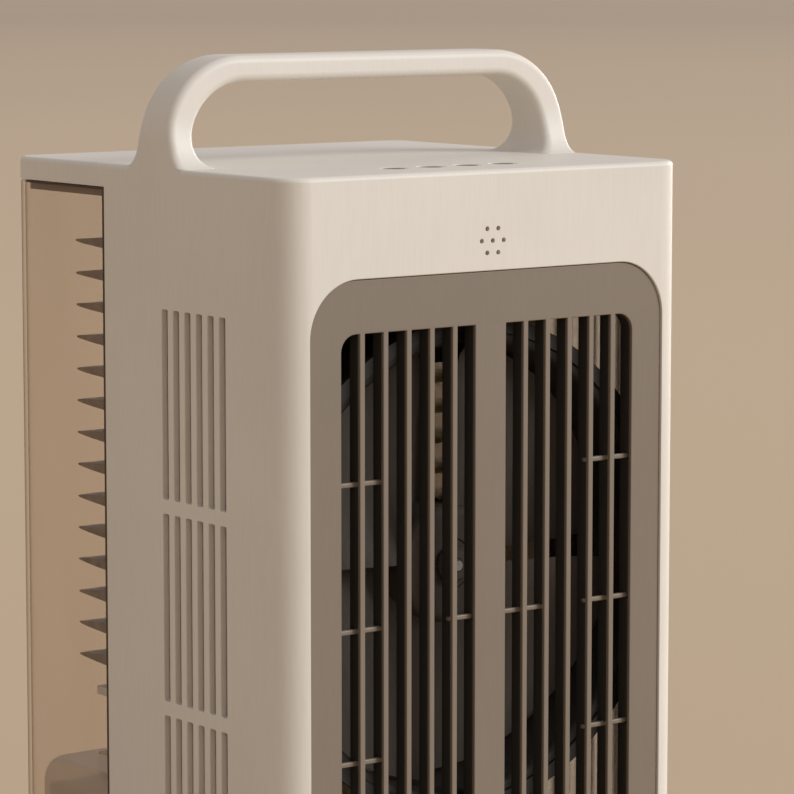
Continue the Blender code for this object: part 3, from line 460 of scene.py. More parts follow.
def bezel_outline(growth):
    half = BEZEL_HALF + growth
    return rectangle(-half, half, down(BEZEL_BOTTOM_DOWN) - growth, down(BEZEL_TOP_DOWN) + growth,
                     BEZEL_RADIUS + growth, 24)


def bar_edges(width):
    """X ranges of the openings in the right half, between the mullion and the field's edge."""
    pitch = (FIELD_HALF - MULLION_HALF + BAR_WIDTH) / (BARS_PER_SIDE + 1)
    slack = (BAR_WIDTH - width) / 2
    ranges = []
    for i in range(BARS_PER_SIDE + 1):
        low = MULLION_HALF + i * pitch - (slack if i else 0)
        high = MULLION_HALF + (i + 1) * pitch - BAR_WIDTH + (slack if i < BARS_PER_SIDE else 0)
        ranges.append((low, high))
    return ranges


def bar_centre(number):
    edge = bar_edges(BAR_WIDTH)[abs(number) - 1][1]
    return math.copysign(edge + BAR_WIDTH / 2, number)


OUTER_SUPPORTS = [bar_centre(4), bar_centre(5), FIELD_HALF + 1.6 * MM]
CENTRE_SUPPORTS = [bar_centre(-1), 0.0, bar_centre(1), bar_centre(2)]
RIBS = [(down(d), [side * x for x in OUTER_SUPPORTS])
        for d in (139.7 * MM, 207 * MM, 268 * MM) for side in (-1, 1)]
RIBS.append((down(207 * MM), CENTRE_SUPPORTS))


def grille_openings(width, growth):
    """Outlines of the twelve tall openings, the outermost with round outer corners."""
    bottom, top = down(FIELD_BOTTOM_DOWN) + growth, down(FIELD_TOP_DOWN) - growth
    loops = []
    for i, (low, high) in enumerate(bar_edges(width)):
        low, high = low + growth, high - growth
        wide = FIELD_RADIUS - growth if i == BARS_PER_SIDE else 0.35 * MM
        loops.append(rectangle(low, high, bottom, top, (0.35 * MM, wide, wide, 0.35 * MM), 6))
        loops.append(rectangle(-high, -low, bottom, top, (wide, 0.35 * MM, 0.35 * MM, wide), 6))
    return loops


# Body

HANDLE_IN, HANDLE_DEPTH, HANDLE_FLARE, HANDLE_FLARE_HEIGHT = 104 * MM, 25 * MM, 12 * MM, 24 * MM
HANDLE_OUTER = (75.5 * MM, 12 * MM, 42 * MM, 39 * MM)
HANDLE_INNER = (74.4 * MM, 9.7 * MM, 29 * MM, 29 * MM)
HANDLE_INNER_FLARE = 7.5 * MM
HANDLE_ROUND = 3.8 * MM
SLOT_FIRST_IN, SLOT_PITCH, SLOT_WIDTH, SLOT_HEIGHT = 48.3 * MM, 9.39 * MM, 5 * MM, 88.5 * MM
SLOT_TOPS_DOWN = (65 * MM, 160.3 * MM, 255.6 * MM)
SOUND_HOLE_DOWN, SOUND_HOLE_PITCH, SOUND_HOLE_RADIUS = 32.7 * MM, 6.4 * MM, 1.1 * MM
BUTTON_IN, BUTTON_PITCH, BUTTON_RADIUS = 33 * MM, 21.3 * MM, 6.4 * MM
FAN_Z = down(187 * MM)
CONTROL_SCREWS = [(x, depth_in(BUTTON_IN)) for x in (-44 * MM, 44 * MM)]
SHROUD_SCREWS = [(x, down(d)) for x in (-103 * MM, 103 * MM) for d in (34 * MM, 374 * MM)]
BASE_SCREWS = [(x, y) for x in (-108.4 * MM, 108.4 * MM) for y in (-80 * MM, 22 * MM)]
PILOT, SHROUD_IN = 1.6 * MM, 16 * MM
EASE, EASE_PART = 0.4 * MM, 0.15 * MM
SHROUD_BOSS, BASE_BOSS, BOARD_POST = 4 * MM, 5.5 * MM, 3.2 * MM
COLLAR, COLLAR_INSIDE, COLLAR_LENGTH = 9.4 * MM, 8 * MM, 6 * MM
WEB_HALF, WEB_LOW, WEB_HIGH = 1.5 * MM, 22 * MM, 46 * MM


def handle_section(outer, inner, half_depth):
    """Rounded rectangle between an outer and an inner point, half_depth wide in Y."""
    outer, inner = Vector(outer), Vector(inner)
    middle, across = (outer + inner) / 2, (outer - inner) / 2
    half_thick = across.length
    r = min(HANDLE_ROUND, half_thick * 0.9)
    unit = across / half_thick
    loop = rectangle(-half_thick, half_thick, -half_depth, half_depth, r, 8)
    y = depth_in(HANDLE_IN)
    return [(middle.x + unit.x * u, y + v, TOP + middle.y + unit.y * u) for u, v in loop]


def handle_half_depth(z):
    rise = min(max(z / HANDLE_FLARE_HEIGHT, 0.0), 1.0)
    return HANDLE_DEPTH / 2 + HANDLE_FLARE * (1 - math.sqrt(1 - (1 - rise) ** 2))


def handle_stations():
    """(outer point, inner point, half depth) from the right foot to the middle of the top bar."""
    ox, oz, orx, orz = HANDLE_OUTER
    ix, iz, irx, irz = HANDLE_INNER
    stations = []
    for z in [-5 * MM] + [0.15 * MM + 9 * MM * (i / 12) ** 1.6 for i in range(12)]:
        spread = HANDLE_INNER_FLARE * (1 - math.sqrt(1 - (1 - min(max(z / iz, 0), 1)) ** 2))
        stations.append(((HALF, z), (ix + irx - spread, z), handle_half_depth(z)))
    steps = 32
    for i in range(steps + 1):
        a = math.radians(90 * i / steps)
        outer = (ox + orx * math.cos(a), oz + orz * math.sin(a))
        inner = (ix + irx * math.cos(a), iz + irz * math.sin(a))
        stations.append((outer, inner, handle_half_depth((outer[1] + inner[1]) / 2)))
    return stations


def handle():
    half = handle_stations()
    top = ((0.0, half[-1][0][1]), (0.0, half[-1][1][1]), half[-1][2])
    mirrored = [((-o[0], o[1]), (-i[0], i[1]), d) for o, i, d in reversed(half)]
    return loft("handle", [handle_section(*station) for station in half + [top] + mirrored])


def flared(name, plane, outlines, surface, radius, direction, depth):
    """A cutter that rounds the edge of the hole it cuts. It starts 1 mm outside the surface."""
    levels = [(surface - direction * MM, radius)]
    for i in range(6):
        a = math.radians(90 * i / 5)
        levels.append((surface + direction * radius * (1 - math.cos(a)), radius * (1 - math.sin(a))))
    levels.append((surface + direction * depth, 0))
    return plate(name, plane, outlines, levels)


def slot_cutters():
    """Cutters for the intake slots, which round the outer edge of each slot in both side walls."""
    cutters = []
    for top in SLOT_TOPS_DOWN:
        for column in range(6):
            y = depth_in(SLOT_FIRST_IN + column * SLOT_PITCH)

            def outline(growth, y=y, top=top):
                half = SLOT_WIDTH / 2 + growth
                low, high = down(top + SLOT_HEIGHT) - growth, down(top) + growth
                return [rectangle(y - half, y + half, low, high, 1.1 * MM + growth, 5)]

            for side in (-1, 1):
                cutters.append(flared("slot", "YZ", outline, side * HALF, 0.35 * MM, -side, 5 * MM))
    return cutters


def button_x(index):
    return (index - 1.5) * BUTTON_PITCH


def round_cutter(plane, x, y, radius, surface, rim, direction, depth, sides):
    return flared("round_hole", plane, lambda growth: [circle(x, y, radius + growth, sides)],
                  surface, rim, direction, depth)


def housing():
    """Shell with its handle, slots, holes, screw bosses and the collar behind the sound holes."""
    levels = eased(PLINTH_TOP + GAP, 1, EASE, EASE_PART) + rounding(TOP, EDGE_ROUND, -1, 8)[::-1]
    body = plate("housing_shell", "XY", lambda growth: [plan_outline(growth)], levels)
    carve(body, block("under_lid", (-1, BODY_BACK, -1), (1, 1, TOP - LID_HEIGHT)))
    carve(body, plate("cavity", "XY", lambda growth: [plan_outline(growth)],
                      [(-WALL, -WALL), (TOP - WALL, -WALL)]))
    carve(body, handle(), "UNION")
    bosses = [rod("boss", "Y", (x, FRONT + WALL - MM, z), SHROUD_BOSS, SHROUD_IN - GAP - WALL + MM)
              for x, z in SHROUD_SCREWS]
    bosses += [rod("boss", "Z", (x, y, TOP - 15 * MM), BOARD_POST, 13 * MM) for x, y in CONTROL_SCREWS]
    bosses += [rod("boss", "Z", (x, y, PLINTH_TOP - 8 * MM), BASE_BOSS, 40 * MM) for x, y in BASE_SCREWS]
    collar = [(COLLAR, COLLAR_LENGTH), (COLLAR, 0), (COLLAR_INSIDE, 0), (COLLAR_INSIDE, COLLAR_LENGTH)]
    bosses.append(lathe("collar", "Y", (0, FRONT + WALL - MM, down(SOUND_HOLE_DOWN)), collar, 48))
    carve(body, together("bosses", bosses), "UNION")
    webs = []
    for x, y in BASE_SCREWS:
        wall = math.copysign(INNER + MM, x)
        webs.append(block("web", (min(x, wall), y - WEB_HALF, WEB_LOW),
                          (max(x, wall), y + WEB_HALF, WEB_HIGH)))
    carve(body, together("webs", webs), "UNION")
    holes = slot_cutters()
    holes.append(flared("bezel_hole", "XZ", lambda growth: [bezel_outline(growth + GAP)],
                        FRONT, 0.6 * MM, 1, 5 * MM))
    for x, dz in [(0.0, 0.0)] + [polar(SOUND_HOLE_PITCH, 60 * i) for i in range(6)]:
        holes.append(round_cutter("XZ", x, down(SOUND_HOLE_DOWN) + dz, SOUND_HOLE_RADIUS,
                                  FRONT, 0.2 * MM, 1, 4 * MM, 20))
    for i in range(4):
        holes.append(round_cutter("XY", button_x(i), depth_in(BUTTON_IN), BUTTON_RADIUS + GAP,
                                  TOP, 0.3 * MM, -1, 5 * MM, 48))
    carve(body, together("holes", holes))
    pilots = [rod("pilot", "Y", (x, FRONT + WALL + MM, z), PILOT, 20 * MM, 20) for x, z in SHROUD_SCREWS]
    pilots += [rod("pilot", "Z", (x, y, 0), PILOT, 30 * MM, 20) for x, y in BASE_SCREWS]
    pilots += [rod("pilot", "Z", (x, y, TOP - 20 * MM), PILOT, 15 * MM, 20) for x, y in CONTROL_SCREWS]
    carve(body, together("pilots", pilots))
    piece(body, "cream", replaces=["housing"], angle=40)


DRIVER_POSTS = [(x, y) for x in (-50 * MM, 50 * MM) for y in (-40 * MM, 20 * MM)]
DRIVER_Z, INLET_HALF, INLET_TALL, INLET_Z = 21 * MM, 4.6 * MM, 3.4 * MM, 10 * MM


def base():
    """Plinth with a hollow rear, a wiring well, posts for the driver board and the inlet's hole."""
    levels = eased(FOOT_HEIGHT, 1, 0.6 * MM, 0.2 * MM) + eased(PLINTH_TOP, -1, EASE, EASE_PART)[::-1]
    body = plate("plinth", "XY", lambda growth: [plan_outline(growth)], levels)
    carve(body, plate("hollow", "XY", lambda growth: [plan_outline(growth)],
                      [(FOOT_HEIGHT + WALL, -WALL), (PLINTH_TOP - WALL, -WALL)]))
    carve(body, plate("well", "XY", lambda growth: [plan_outline(growth, back=BODY_BACK, rear_radius=0)],
                      [(PLINTH_TOP - WALL - MM, -WALL), (PLINTH_TOP + MM, -WALL)]))
    posts = [rod("post", "Z", (x, y, FOOT_HEIGHT + MM), BOARD_POST, DRIVER_Z - GAP - FOOT_HEIGHT - MM)
             for x, y in DRIVER_POSTS]
    carve(body, together("posts", posts), "UNION")
    holes = [rod("pilot", "Z", (x, y, FOOT_HEIGHT + WALL), PILOT, 30 * MM, 20) for x, y in DRIVER_POSTS]
    holes += [rod("pilot", "Z", (x, y, 0), PILOT, 12 * MM, 20) for x, y in BASE_SCREWS]
    holes.append(block("inlet_hole", (-INLET_HALF - GAP, BACK - 6 * MM, INLET_Z - INLET_TALL / 2 - GAP),
                       (INLET_HALF + GAP, BACK + WALL, INLET_Z + INLET_TALL / 2 + GAP)))
    carve(body, together("holes", holes))
    piece(body, "cream", replaces=["base"], angle=40)


def bezel():
    """Face plate with round front edges, a rim, a flange and cross ribs behind the bars."""
    front = depth_in(BEZEL_RECESS)

    def outlines(growth):
        return [bezel_outline(growth), *grille_openings(BAR_WIDTH, growth)]

    levels = rounding(front, 0.45 * MM, 1) + [(front + BEZEL_THICK, 0)]
    body = plate("grille_bezel", "XZ", outlines, levels)
    for name, grown, inner, low, high in (
        ("rim", -0.2 * MM, -BEZEL_RIM, front + BEZEL_THICK / 2, depth_in(6 * MM)),
        ("flange", 2.2 * MM, -BEZEL_RIM / 2, depth_in(3.6 * MM), depth_in(5.1 * MM)),
    ):
        carve(body, plate(name, "XZ", fixed(bezel_outline(grown), bezel_outline(inner)),
                          [(low, 0), (high, 0)]), "UNION")
    piece(body, "taupe", replaces=["front_bezel"], angle=40)
    for number, (z, supports) in enumerate(RIBS, 1):
        half, low, high = RIB_SIZE / 2, min(supports) - 1.1 * MM, max(supports) + 1.1 * MM

        def outline(growth, half=half, z=z):
            return [rectangle(depth_in(RIB_IN) - growth, depth_in(RIB_IN + RIB_SIZE) + growth,
                              z - half - growth, z + half + growth, 0.7 * MM + growth, 5)]

        rib = plate(f"grille_rib_{number}", "YZ", outline,
                    [(low, -0.4 * MM), (low + 0.4 * MM, 0), (high - 0.4 * MM, 0), (high, -0.4 * MM)])
        piece(rib, "taupe")


def grille_fins():
    """Dark lattice behind the bars, notched round the cross ribs."""
    def outlines(growth):
        return [bezel_outline(-BEZEL_RIM - GAP), *grille_openings(FIN_WIDTH, growth)]

    low, high = depth_in(3.1 * MM), depth_in(9.7 * MM)
    body = plate("grille_fins", "XZ", outlines,
                 [(low, -0.2 * MM), (low + 0.2 * MM, 0), (high - 0.3 * MM, 0), (high, -0.3 * MM)])
    notches = []
    for z, supports in RIBS:
        tall, reach = RIB_SIZE / 2 + GAP, 1.1 * MM + GAP
        notches.append(block("notch", (min(supports) - reach, depth_in(0), z - tall),
                             (max(supports) + reach, depth_in(RIB_IN + RIB_SIZE) + GAP, z + tall)))
    carve(body, together("notches", notches))
    piece(body, "dark", replaces=["grille_insert"])


# Fan

SHROUD_HOLE, RING_RADIUS, RING_LENGTH = 111 * MM, 107.5 * MM, 40 * MM
HUB_RADIUS, HUB_IN, HUB_LENGTH, SHAFT_RADIUS = 28 * MM, 31 * MM, 24 * MM, 3 * MM
BLADE_COUNT, BLADE_TIP, BLADE_SPAN, BLADE_REST = 4, 103 * MM, 84, 1
MOTOR_RADIUS, MOTOR_IN, MOTOR_LENGTH = 26 * MM, 66 * MM, 27 * MM
RING_IN = SHROUD_IN + WALL + GAP
BRACKET_IN, BRACKET_THICK = RING_IN + RING_LENGTH + GAP, 4 * MM
EAR_CIRCLE, MOTOR_SCREW_CIRCLE = 115.5 * MM, 18 * MM
DIAGONALS = (45, 135, 225, 315)


def round_fan(radius, angles):
    """(x, z) points on a circle round the fan's axis."""
    return [(x, FAN_Z + z) for x, z in (polar(radius, angle) for angle in angles)]


EARS = round_fan(EAR_CIRCLE, DIAGONALS)
MOTOR_SCREWS = round_fan(MOTOR_SCREW_CIRCLE, (90, 210, 330))


def radial(name, angle, y, sections):
    """A loft along a radius of the fan. sections are (reach, outline), the outline in (across, Y)."""
    x, z = polar(1, angle)
    along, across = Vector((x, 0, z)), Vector((-z, 0, x))
    rings = []
    for reach, outline in sections:
        centre = Vector((0, y, FAN_Z)) + along * reach
        rings.append([centre + across * u + Vector((0, v, 0)) for u, v in outline])
    return loft(name, rings)


def shroud():
    """Frame that holds the duct, with four corner windows round the duct's hole."""
    reach, inner, outer = 117.5 * MM, 14 * MM, 107 * MM
    first, last = math.degrees(math.acos(outer / reach)), math.degrees(math.acos(inner / reach))
    low, half = depth_in(SHROUD_IN), INNER - MM
    loops = [rectangle(-half, half, down(381 * MM), down(27 * MM), 6 * MM, 8),
             circle(0, FAN_Z, SHROUD_HOLE, 128)]
    for side in (-1, 1):
        for up, z in ((1, down(50 * MM)), (-1, down(358 * MM))):
            curve = [(side * x, FAN_Z + up * h) for x, h in arc(0, 0, reach, reach, first, last, 32)]
            loops.append([*curve, (side * inner, z), (side * outer, z)])
    loops += [circle(x, z, PILOT, 16) for x, z in SHROUD_SCREWS]
    body = plate("fan_shroud", "XZ", fixed(*loops), [(low, 0), (low + WALL, 0)])
    pads = [rod("pad", "Y", (x, low + 0.1 * MM, z), 4.2 * MM, WALL - 0.2 * MM) for x, z in EARS]
    carve(body, together("pads", pads), "UNION")
    holes = [rod("hole", "Y", (x, low - MM, z), PILOT, WALL + 2 * MM, 16) for x, z in EARS]
    carve(body, together("holes", holes))
    piece(body, "dark", replaces=["shroud_plate"])


def duct():
    """Ring round the rotor with a flared mouth, a flange and four screw ears."""
    lip, flange, wall = SHROUD_HOLE - 0.4 * MM, 113.2 * MM, 2 * MM
    inner = RING_RADIUS - wall
    profile = [(inner, RING_LENGTH), (inner, 2 * MM), (inner + 0.5 * MM, 0), (inner + 1.6 * MM, -1.5 * MM),
               (inner + 2.8 * MM, -2 * MM), (lip, -2 * MM), (lip, 0), (flange, 0), (flange, wall),
               (RING_RADIUS, wall), (RING_RADIUS, RING_LENGTH)]
    body = lathe("fan_duct", "Y", (0, depth_in(RING_IN), FAN_Z), profile, 128)
    ears = [rod("ear", "Y", (x, depth_in(RING_IN) + 0.05 * MM, z), 5 * MM, wall - 0.1 * MM)
            for x, z in EARS]
    carve(body, together("ears", ears), "UNION")
    holes = [rod("hole", "Y", (x, depth_in(RING_IN) - MM, z), PILOT, 4 * MM, 16) for x, z in EARS]
    carve(body, together("holes", holes))
    piece(body, "dark", replaces=["fan_ring"])


def bracket():
    """Rim, four tapered spokes and a motor plate."""
    low, high = depth_in(BRACKET_IN), depth_in(BRACKET_IN) + BRACKET_THICK
    body = lathe("motor_spider", "Y", (0, low, FAN_Z), [(RING_RADIUS, 0), (RING_RADIUS, BRACKET_THICK),
                 (RING_RADIUS - 3 * MM, BRACKET_THICK), (RING_RADIUS - 3 * MM, 0)], 128)
    carve(body, rod("plate", "Y", (0, low, FAN_Z), 30 * MM, BRACKET_THICK, 64), "UNION")
    widths = ((24 * MM, 5 * MM), (45 * MM, 3.5 * MM), (RING_RADIUS - MM, 3.5 * MM))
    sections = [(reach, rectangle(-half, half, low + 0.2 * MM, high - 0.2 * MM, 0))
                for reach, half in widths]
    for angle in DIAGONALS:
        carve(body, radial("spoke", angle, 0, sections), "UNION")
    holes = [rod("bore", "Y", (0, low - MM, FAN_Z), 8 * MM, 8 * MM, 40)]
    holes += [rod("hole", "Y", (x, low - MM, z), PILOT, 8 * MM, 16) for x, z in MOTOR_SCREWS]
    carve(body, together("holes", holes))
    piece(bevel(body, 0.3 * MM), "dark", replaces=["motor_bracket"])


def motor():
    """Motor can with a rolled edge, a front boss and cooling slots round its wall, and its shaft."""
    boss, shoulder, bore, back = 7.5 * MM, 2.4 * MM, SHAFT_RADIUS + GAP, MOTOR_LENGTH
    front = BRACKET_IN + BRACKET_THICK + GAP - MOTOR_IN
    profile = [(bore, front - 3 * MM), (boss, front - 3 * MM), (boss, front), (MOTOR_RADIUS, front)]
    profile += [(MOTOR_RADIUS - shoulder * (1 - math.cos(math.radians(t))),
                 back - shoulder * (1 - math.sin(math.radians(t)))) for t in range(0, 91, 15)]
    profile += [(12 * MM, back), (11.5 * MM, back - 0.6 * MM), (bore, back - 0.6 * MM)]
    body = lathe("motor_can", "Y", (0, depth_in(MOTOR_IN), FAN_Z), profile, 96)
    vent = rectangle(-1.6 * MM, 1.6 * MM, 0, 10 * MM, 1.5 * MM, 5)
    sections = [(MOTOR_RADIUS - 1.2 * MM, vent), (MOTOR_RADIUS + MM, vent)]
    cuts = [radial("vent", 30 * i, depth_in(MOTOR_IN) + 9 * MM, sections) for i in range(12)]
    cuts += [rod("hole", "Y", (x, depth_in(BRACKET_IN), z), PILOT, 14 * MM, 16) for x, z in MOTOR_SCREWS]
    carve(body, together("cuts", cuts))
    piece(body, "steel", replaces=["fan_motor"])
    length = MOTOR_IN + 20 * MM - HUB_IN + 6 * MM
    profile = [(0, 0), (SHAFT_RADIUS - 0.6 * MM, 0), (SHAFT_RADIUS, 0.6 * MM), (SHAFT_RADIUS, length),
               (0, length)]
    shaft = lathe("rotor_shaft", "Y", (0, depth_in(HUB_IN - 6 * MM), FAN_Z), profile, 32, False)
    piece(shaft, "steel", "impeller_body", ["motor_shaft"])


def blade(index):
    """One twisted blade with a rounded edge all round, lofted from chords along its radius."""
    rings = []
    count, chord = 20, 20
    root = HUB_RADIUS - 2 * MM
    centre = math.radians(360 / BLADE_COUNT * (index + 0.5) + BLADE_REST)
    for k in range(count + 1):
        radius = root + (BLADE_TIP - root) * k / count
        reach = (radius - root) / (BLADE_TIP - root)
        sweep = math.radians(BLADE_SPAN + 2 * math.sin(math.pi * reach)) / 2
        rise = (10.5 - 1.5 * reach) * MM
        loop = []
        for side in (-1, 1):
            for c in range(chord + 1):
                t = (-1 + 2 * c / chord) * (1 if side < 0 else -1)
                corner = max(0.0, reach - 0.9) / 0.1
                a = centre + sweep * t * (1 - 0.05 * corner ** 2)
                thick = (1.0 - 0.55 * abs(t)) * math.sqrt(max(0.04, 1 - max(0, abs(t) - 0.9) * 9.5)) * MM
                y = rise * t + 2.5 * MM * (1 - t * t) + side * thick
                loop.append((radius * math.sin(a), depth_in(HUB_IN + HUB_LENGTH / 2) + y,
                             FAN_Z + radius * math.cos(a)))
        rings.append(loop)
    return loft("blade", rings)


def rotor():
    """Hub with a round nose and the blades, and the nut that holds it."""
    bore, nose = SHAFT_RADIUS + GAP, 5 * MM
    profile = [(bore, HUB_LENGTH), (HUB_RADIUS - 2 * MM, HUB_LENGTH), (HUB_RADIUS, HUB_LENGTH - MM)]
    profile += [(HUB_RADIUS - nose + x, nose - y) for x, y in (polar(nose, t) for t in range(0, 91, 10))]
    profile += [(12.5 * MM, 0), (12 * MM, 0.8 * MM), (bore, 0.8 * MM)]
    body = lathe("fan_rotor", "Y", (0, depth_in(HUB_IN), FAN_Z), profile, 96)
    for index in range(BLADE_COUNT):
        carve(body, blade(index), "UNION")
    piece(body, "dark", "impeller_body", ["impeller"], ROTOR, 40)
    profile = [(bore, 0), (9 * MM, 0), (9 * MM, -1.6 * MM), (8.6 * MM, -2.4 * MM),
               (7.4 * MM, -4.2 * MM), (6.6 * MM, -4.5 * MM), (bore, -4.5 * MM)]
    nut = lathe("rotor_nut", "Y", (0, depth_in(HUB_IN) - GAP, FAN_Z), profile, 12)
    piece(bevel(nut, 0.3 * MM, 2, 25), "dark", "impeller_body", ["impeller_nut"], ROTOR)


# Fasteners


def screw(name, axis, spot, head_start, shank, sign, replaces=()):
    """Pan-head screw with a cross recess and a ridged shank. sign 1 turns its head to low Y or low Z."""
    head, rim, core, pitch = 2.0 * MM, 2.9 * MM, 1.3 * MM, 0.9 * MM
    profile = [(0, head), (rim * 0.45, head * 0.97), (rim * 0.75, head * 0.8), (rim * 0.95, head * 0.45),
               (rim, 0.2 * MM), (rim, 0), (core, 0)]
    for i in range(int(shank / pitch)):
        z = -0.6 * MM - i * pitch
        profile += [(core - 0.25 * MM, z), (core, z - 0.3 * MM), (core - 0.25 * MM, z - 0.6 * MM)]
    profile += [(0.5 * MM, -shank), (0, -shank)]
    profile = [(r, max(h, -shank)) for r, h in profile]
    body = lathe(name, "Z", (0, 0, 0), profile, 24, False)
    width, long = 0.36 * MM, 1.6 * MM
    for a, b in ((long, width), (width, long)):
        carve(body, block("recess", (-a, -b, head * 0.45), (a, b, head + MM)))
    flip = -1 if sign > 0 else 1
    place = {"Y": lambda p: (p[0] + spot[0], head_start + flip * p[2], p[1] + spot[1]),
             "Z": lambda p: (p[0] + spot[0], p[1] + spot[1], head_start + flip * p[2])}[axis]
    for vertex in body.data.vertices:
        vertex.co = place(vertex.co)
    shape = bmesh.new()
    shape.from_mesh(body.data)
    bmesh.ops.recalc_face_normals(shape, faces=shape.faces)
    shape.to_mesh(body.data)
    shape.free()
    return piece(body, "steel", "body", replaces)


def screws():
    groups = (
        ("shroud_screw", "Y", SHROUD_SCREWS, depth_in(SHROUD_IN) + WALL + GAP, 9 * MM, -1, True),
        ("motor_screw", "Y", MOTOR_SCREWS, depth_in(BRACKET_IN) - GAP, 8 * MM, 1, True),
        ("base_screw", "Z", BASE_SCREWS, FOOT_HEIGHT - GAP, 18 * MM, 1, True),
        ("duct_screw", "Y", EARS, depth_in(RING_IN) + 2 * MM, 4.6 * MM, -1, False),
        ("driver_screw", "Z", DRIVER_POSTS, DRIVER_Z + 1.6 * MM + GAP, 9 * MM, -1, False),
        ("control_screw", "Z", CONTROL_SCREWS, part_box("control_board")[0].z - GAP, 8 * MM, 1, False),
    )
    for name, axis, spots, start, shank, sign, in_frame in groups:
        for i, spot in enumerate(spots, 1):
            node_name = f"{name}_{i}"
            screw(f"{name}_head_{i}", axis, spot, start, shank, sign, [node_name] if in_frame else ())


# Controls


def buttons():
    """Caps flush with the top, each with a finger dish painted taupe as painted shade in its hollow."""
    for i in range(4):
        low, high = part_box(f"button_{i + 1}")
        top, rim = high.z, 5.3 * MM
        dish = [(0, top - 0.95 * MM), (3.4 * MM, top - 0.9 * MM), (4.4 * MM, top - 0.75 * MM),
                (4.9 * MM, top - 0.35 * MM), (rim, top - 0.06 * MM), (rim + 0.3 * MM, top)]
        side = [(BUTTON_RADIUS - 0.3 * MM, top), (BUTTON_RADIUS - 0.08 * MM, top - 0.1 * MM),
                (BUTTON_RADIUS, top - 0.35 * MM)]
        brim, stem, brim_top, brim_low = 7.5 * MM, 2 * MM, TOP - WALL - GAP, low.z + 2.4 * MM
        profile = dish + side + [(BUTTON_RADIUS, brim_top), (brim, brim_top), (brim, brim_low),
                                 (stem, brim_low), (stem, low.z), (0, low.z)]
        cap = lathe(f"button_cap_{i + 1}", "Z", (button_x(i), depth_in(BUTTON_IN), 0), profile, 64, False)
        piece(cap, "cream", f"button_body_{i + 1}", [f"button_{i + 1}"], angle=50)
        # The dish is painted taupe: painted shade that darkens the hollow of each dish.
        cap.data.materials.append(PAINTS["taupe"])
        for face in cap.data.polygons:
            centre = face.center
            reach = math.hypot(centre.x - button_x(i), centre.y - depth_in(BUTTON_IN))
            if reach < rim and centre.z > top - MM:
                face.material_index = 1


def feet():
    """Rubber pads with two raised rings that touch the ground."""
    groove = 0.5 * MM
    for i in range(4):
        low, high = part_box(f"foot_{i + 1}")
        x, y, tall = (low.x + high.x) / 2, (low.y + high.y) / 2, high.z
        profile = [(0, groove), (3 * MM, groove), (3.3 * MM, 0), (4.6 * MM, 0), (4.9 * MM, groove),
                   (5.6 * MM, groove), (5.9 * MM, 0), (7.2 * MM, 0), (7.8 * MM, 0.35 * MM),
                   (8 * MM, 0.9 * MM), (8 * MM, tall - 0.3 * MM), (7.7 * MM, tall), (0, tall)]
        pad = lathe(f"foot_pad_{i + 1}", "Z", (x, y, 0), profile, 48, False)
        piece(pad, "rubber", "body", [f"foot_{i + 1}"], angle=50)


# Rear module

COVER_WALL, FIN_HALF, UNEVEN = 2 * MM, 112 * MM, 0.35 * MM


def cover_outline(growth):
    """Plan of the module's cover, open to the front."""
    r, x, y = REAR_RADIUS + growth, HALF - 0.2 * MM + growth, BACK + growth
    return arc(-x + r, y - r, r, r, 180, 90, 20) + arc(x - r, y - r, r, r, 90, 0, 20), x


def cover():
    """Clear moulding open to the front, with a floor and round rear corners, its top frame, a dark strip
    under the lid that is painted shadow, and side seals.
    """
    low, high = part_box("clear_cover")
    front = low.y

    def band(start, outside, inside):
        outer, x_out = cover_outline(outside)
        inner, x_in = cover_outline(inside)
        return [[(-x_out, start), *outer, (x_out, start), (x_in, start), *reversed(inner), (-x_in, start)]]

    levels = eased(low.z, 1, EASE, EASE_PART) + eased(high.z, -1, EASE, EASE_PART)[::-1]
    body = plate("module_cover", "XY", lambda growth: band(front, growth, -COVER_WALL - growth), levels)
    outer, x_out = cover_outline(-MM)
    floor_plan = fixed([(-x_out, front), *outer, (x_out, front)])
    carve(body, plate("floor", "XY", floor_plan, [(low.z + 0.05 * MM, 0), (low.z + COVER_WALL, 0)]), "UNION")
    piece(body, "clear", "rear_module", ["clear_cover"], angle=40)
    # The second strip, under the lid, is painted shadow: a dark band where the lid's shade falls.
    for name, slot, paint, inset, width, below, above, edge in (
        ("module_top_frame", "taupe", FRAME_BROWN, 2.5 * MM, 2.4 * MM, 4.4 * MM, 1.2 * MM, 0.4 * MM),
        ("module_top_shadow_strip", "rubber", SEAL_AND_SHADOW_BROWN, 0.3 * MM, 5 * MM, 1.1 * MM, 0.2 * MM, 0.2 * MM),
    ):
        plan = fixed(*band(front + 0.6 * MM, -COVER_WALL - inset, -COVER_WALL - inset - width))
        strip = plate(name, "XY", plan, [(high.z - below, 0), (high.z - above, 0)])
        piece(bevel(strip, edge), slot, "rear_module", paint=paint)
    for side in (-1, 1):
        x = side * (HALF - COVER_WALL - 1.2 * MM)
        plan = rectangle(x - 0.6 * MM, x + 0.6 * MM, front + 0.3 * MM, front + 4.8 * MM, 0.4 * MM, 4)
        strip = plate(f"module_side_seal_{'right' if side > 0 else 'left'}", "XY", fixed(plan),
                      [(low.z + COVER_WALL + 0.5 * MM, 0), (high.z - 1.4 * MM, 0)])
        piece(strip, "rubber", "rear_module", paint=SEAL_AND_SHADOW_BROWN)


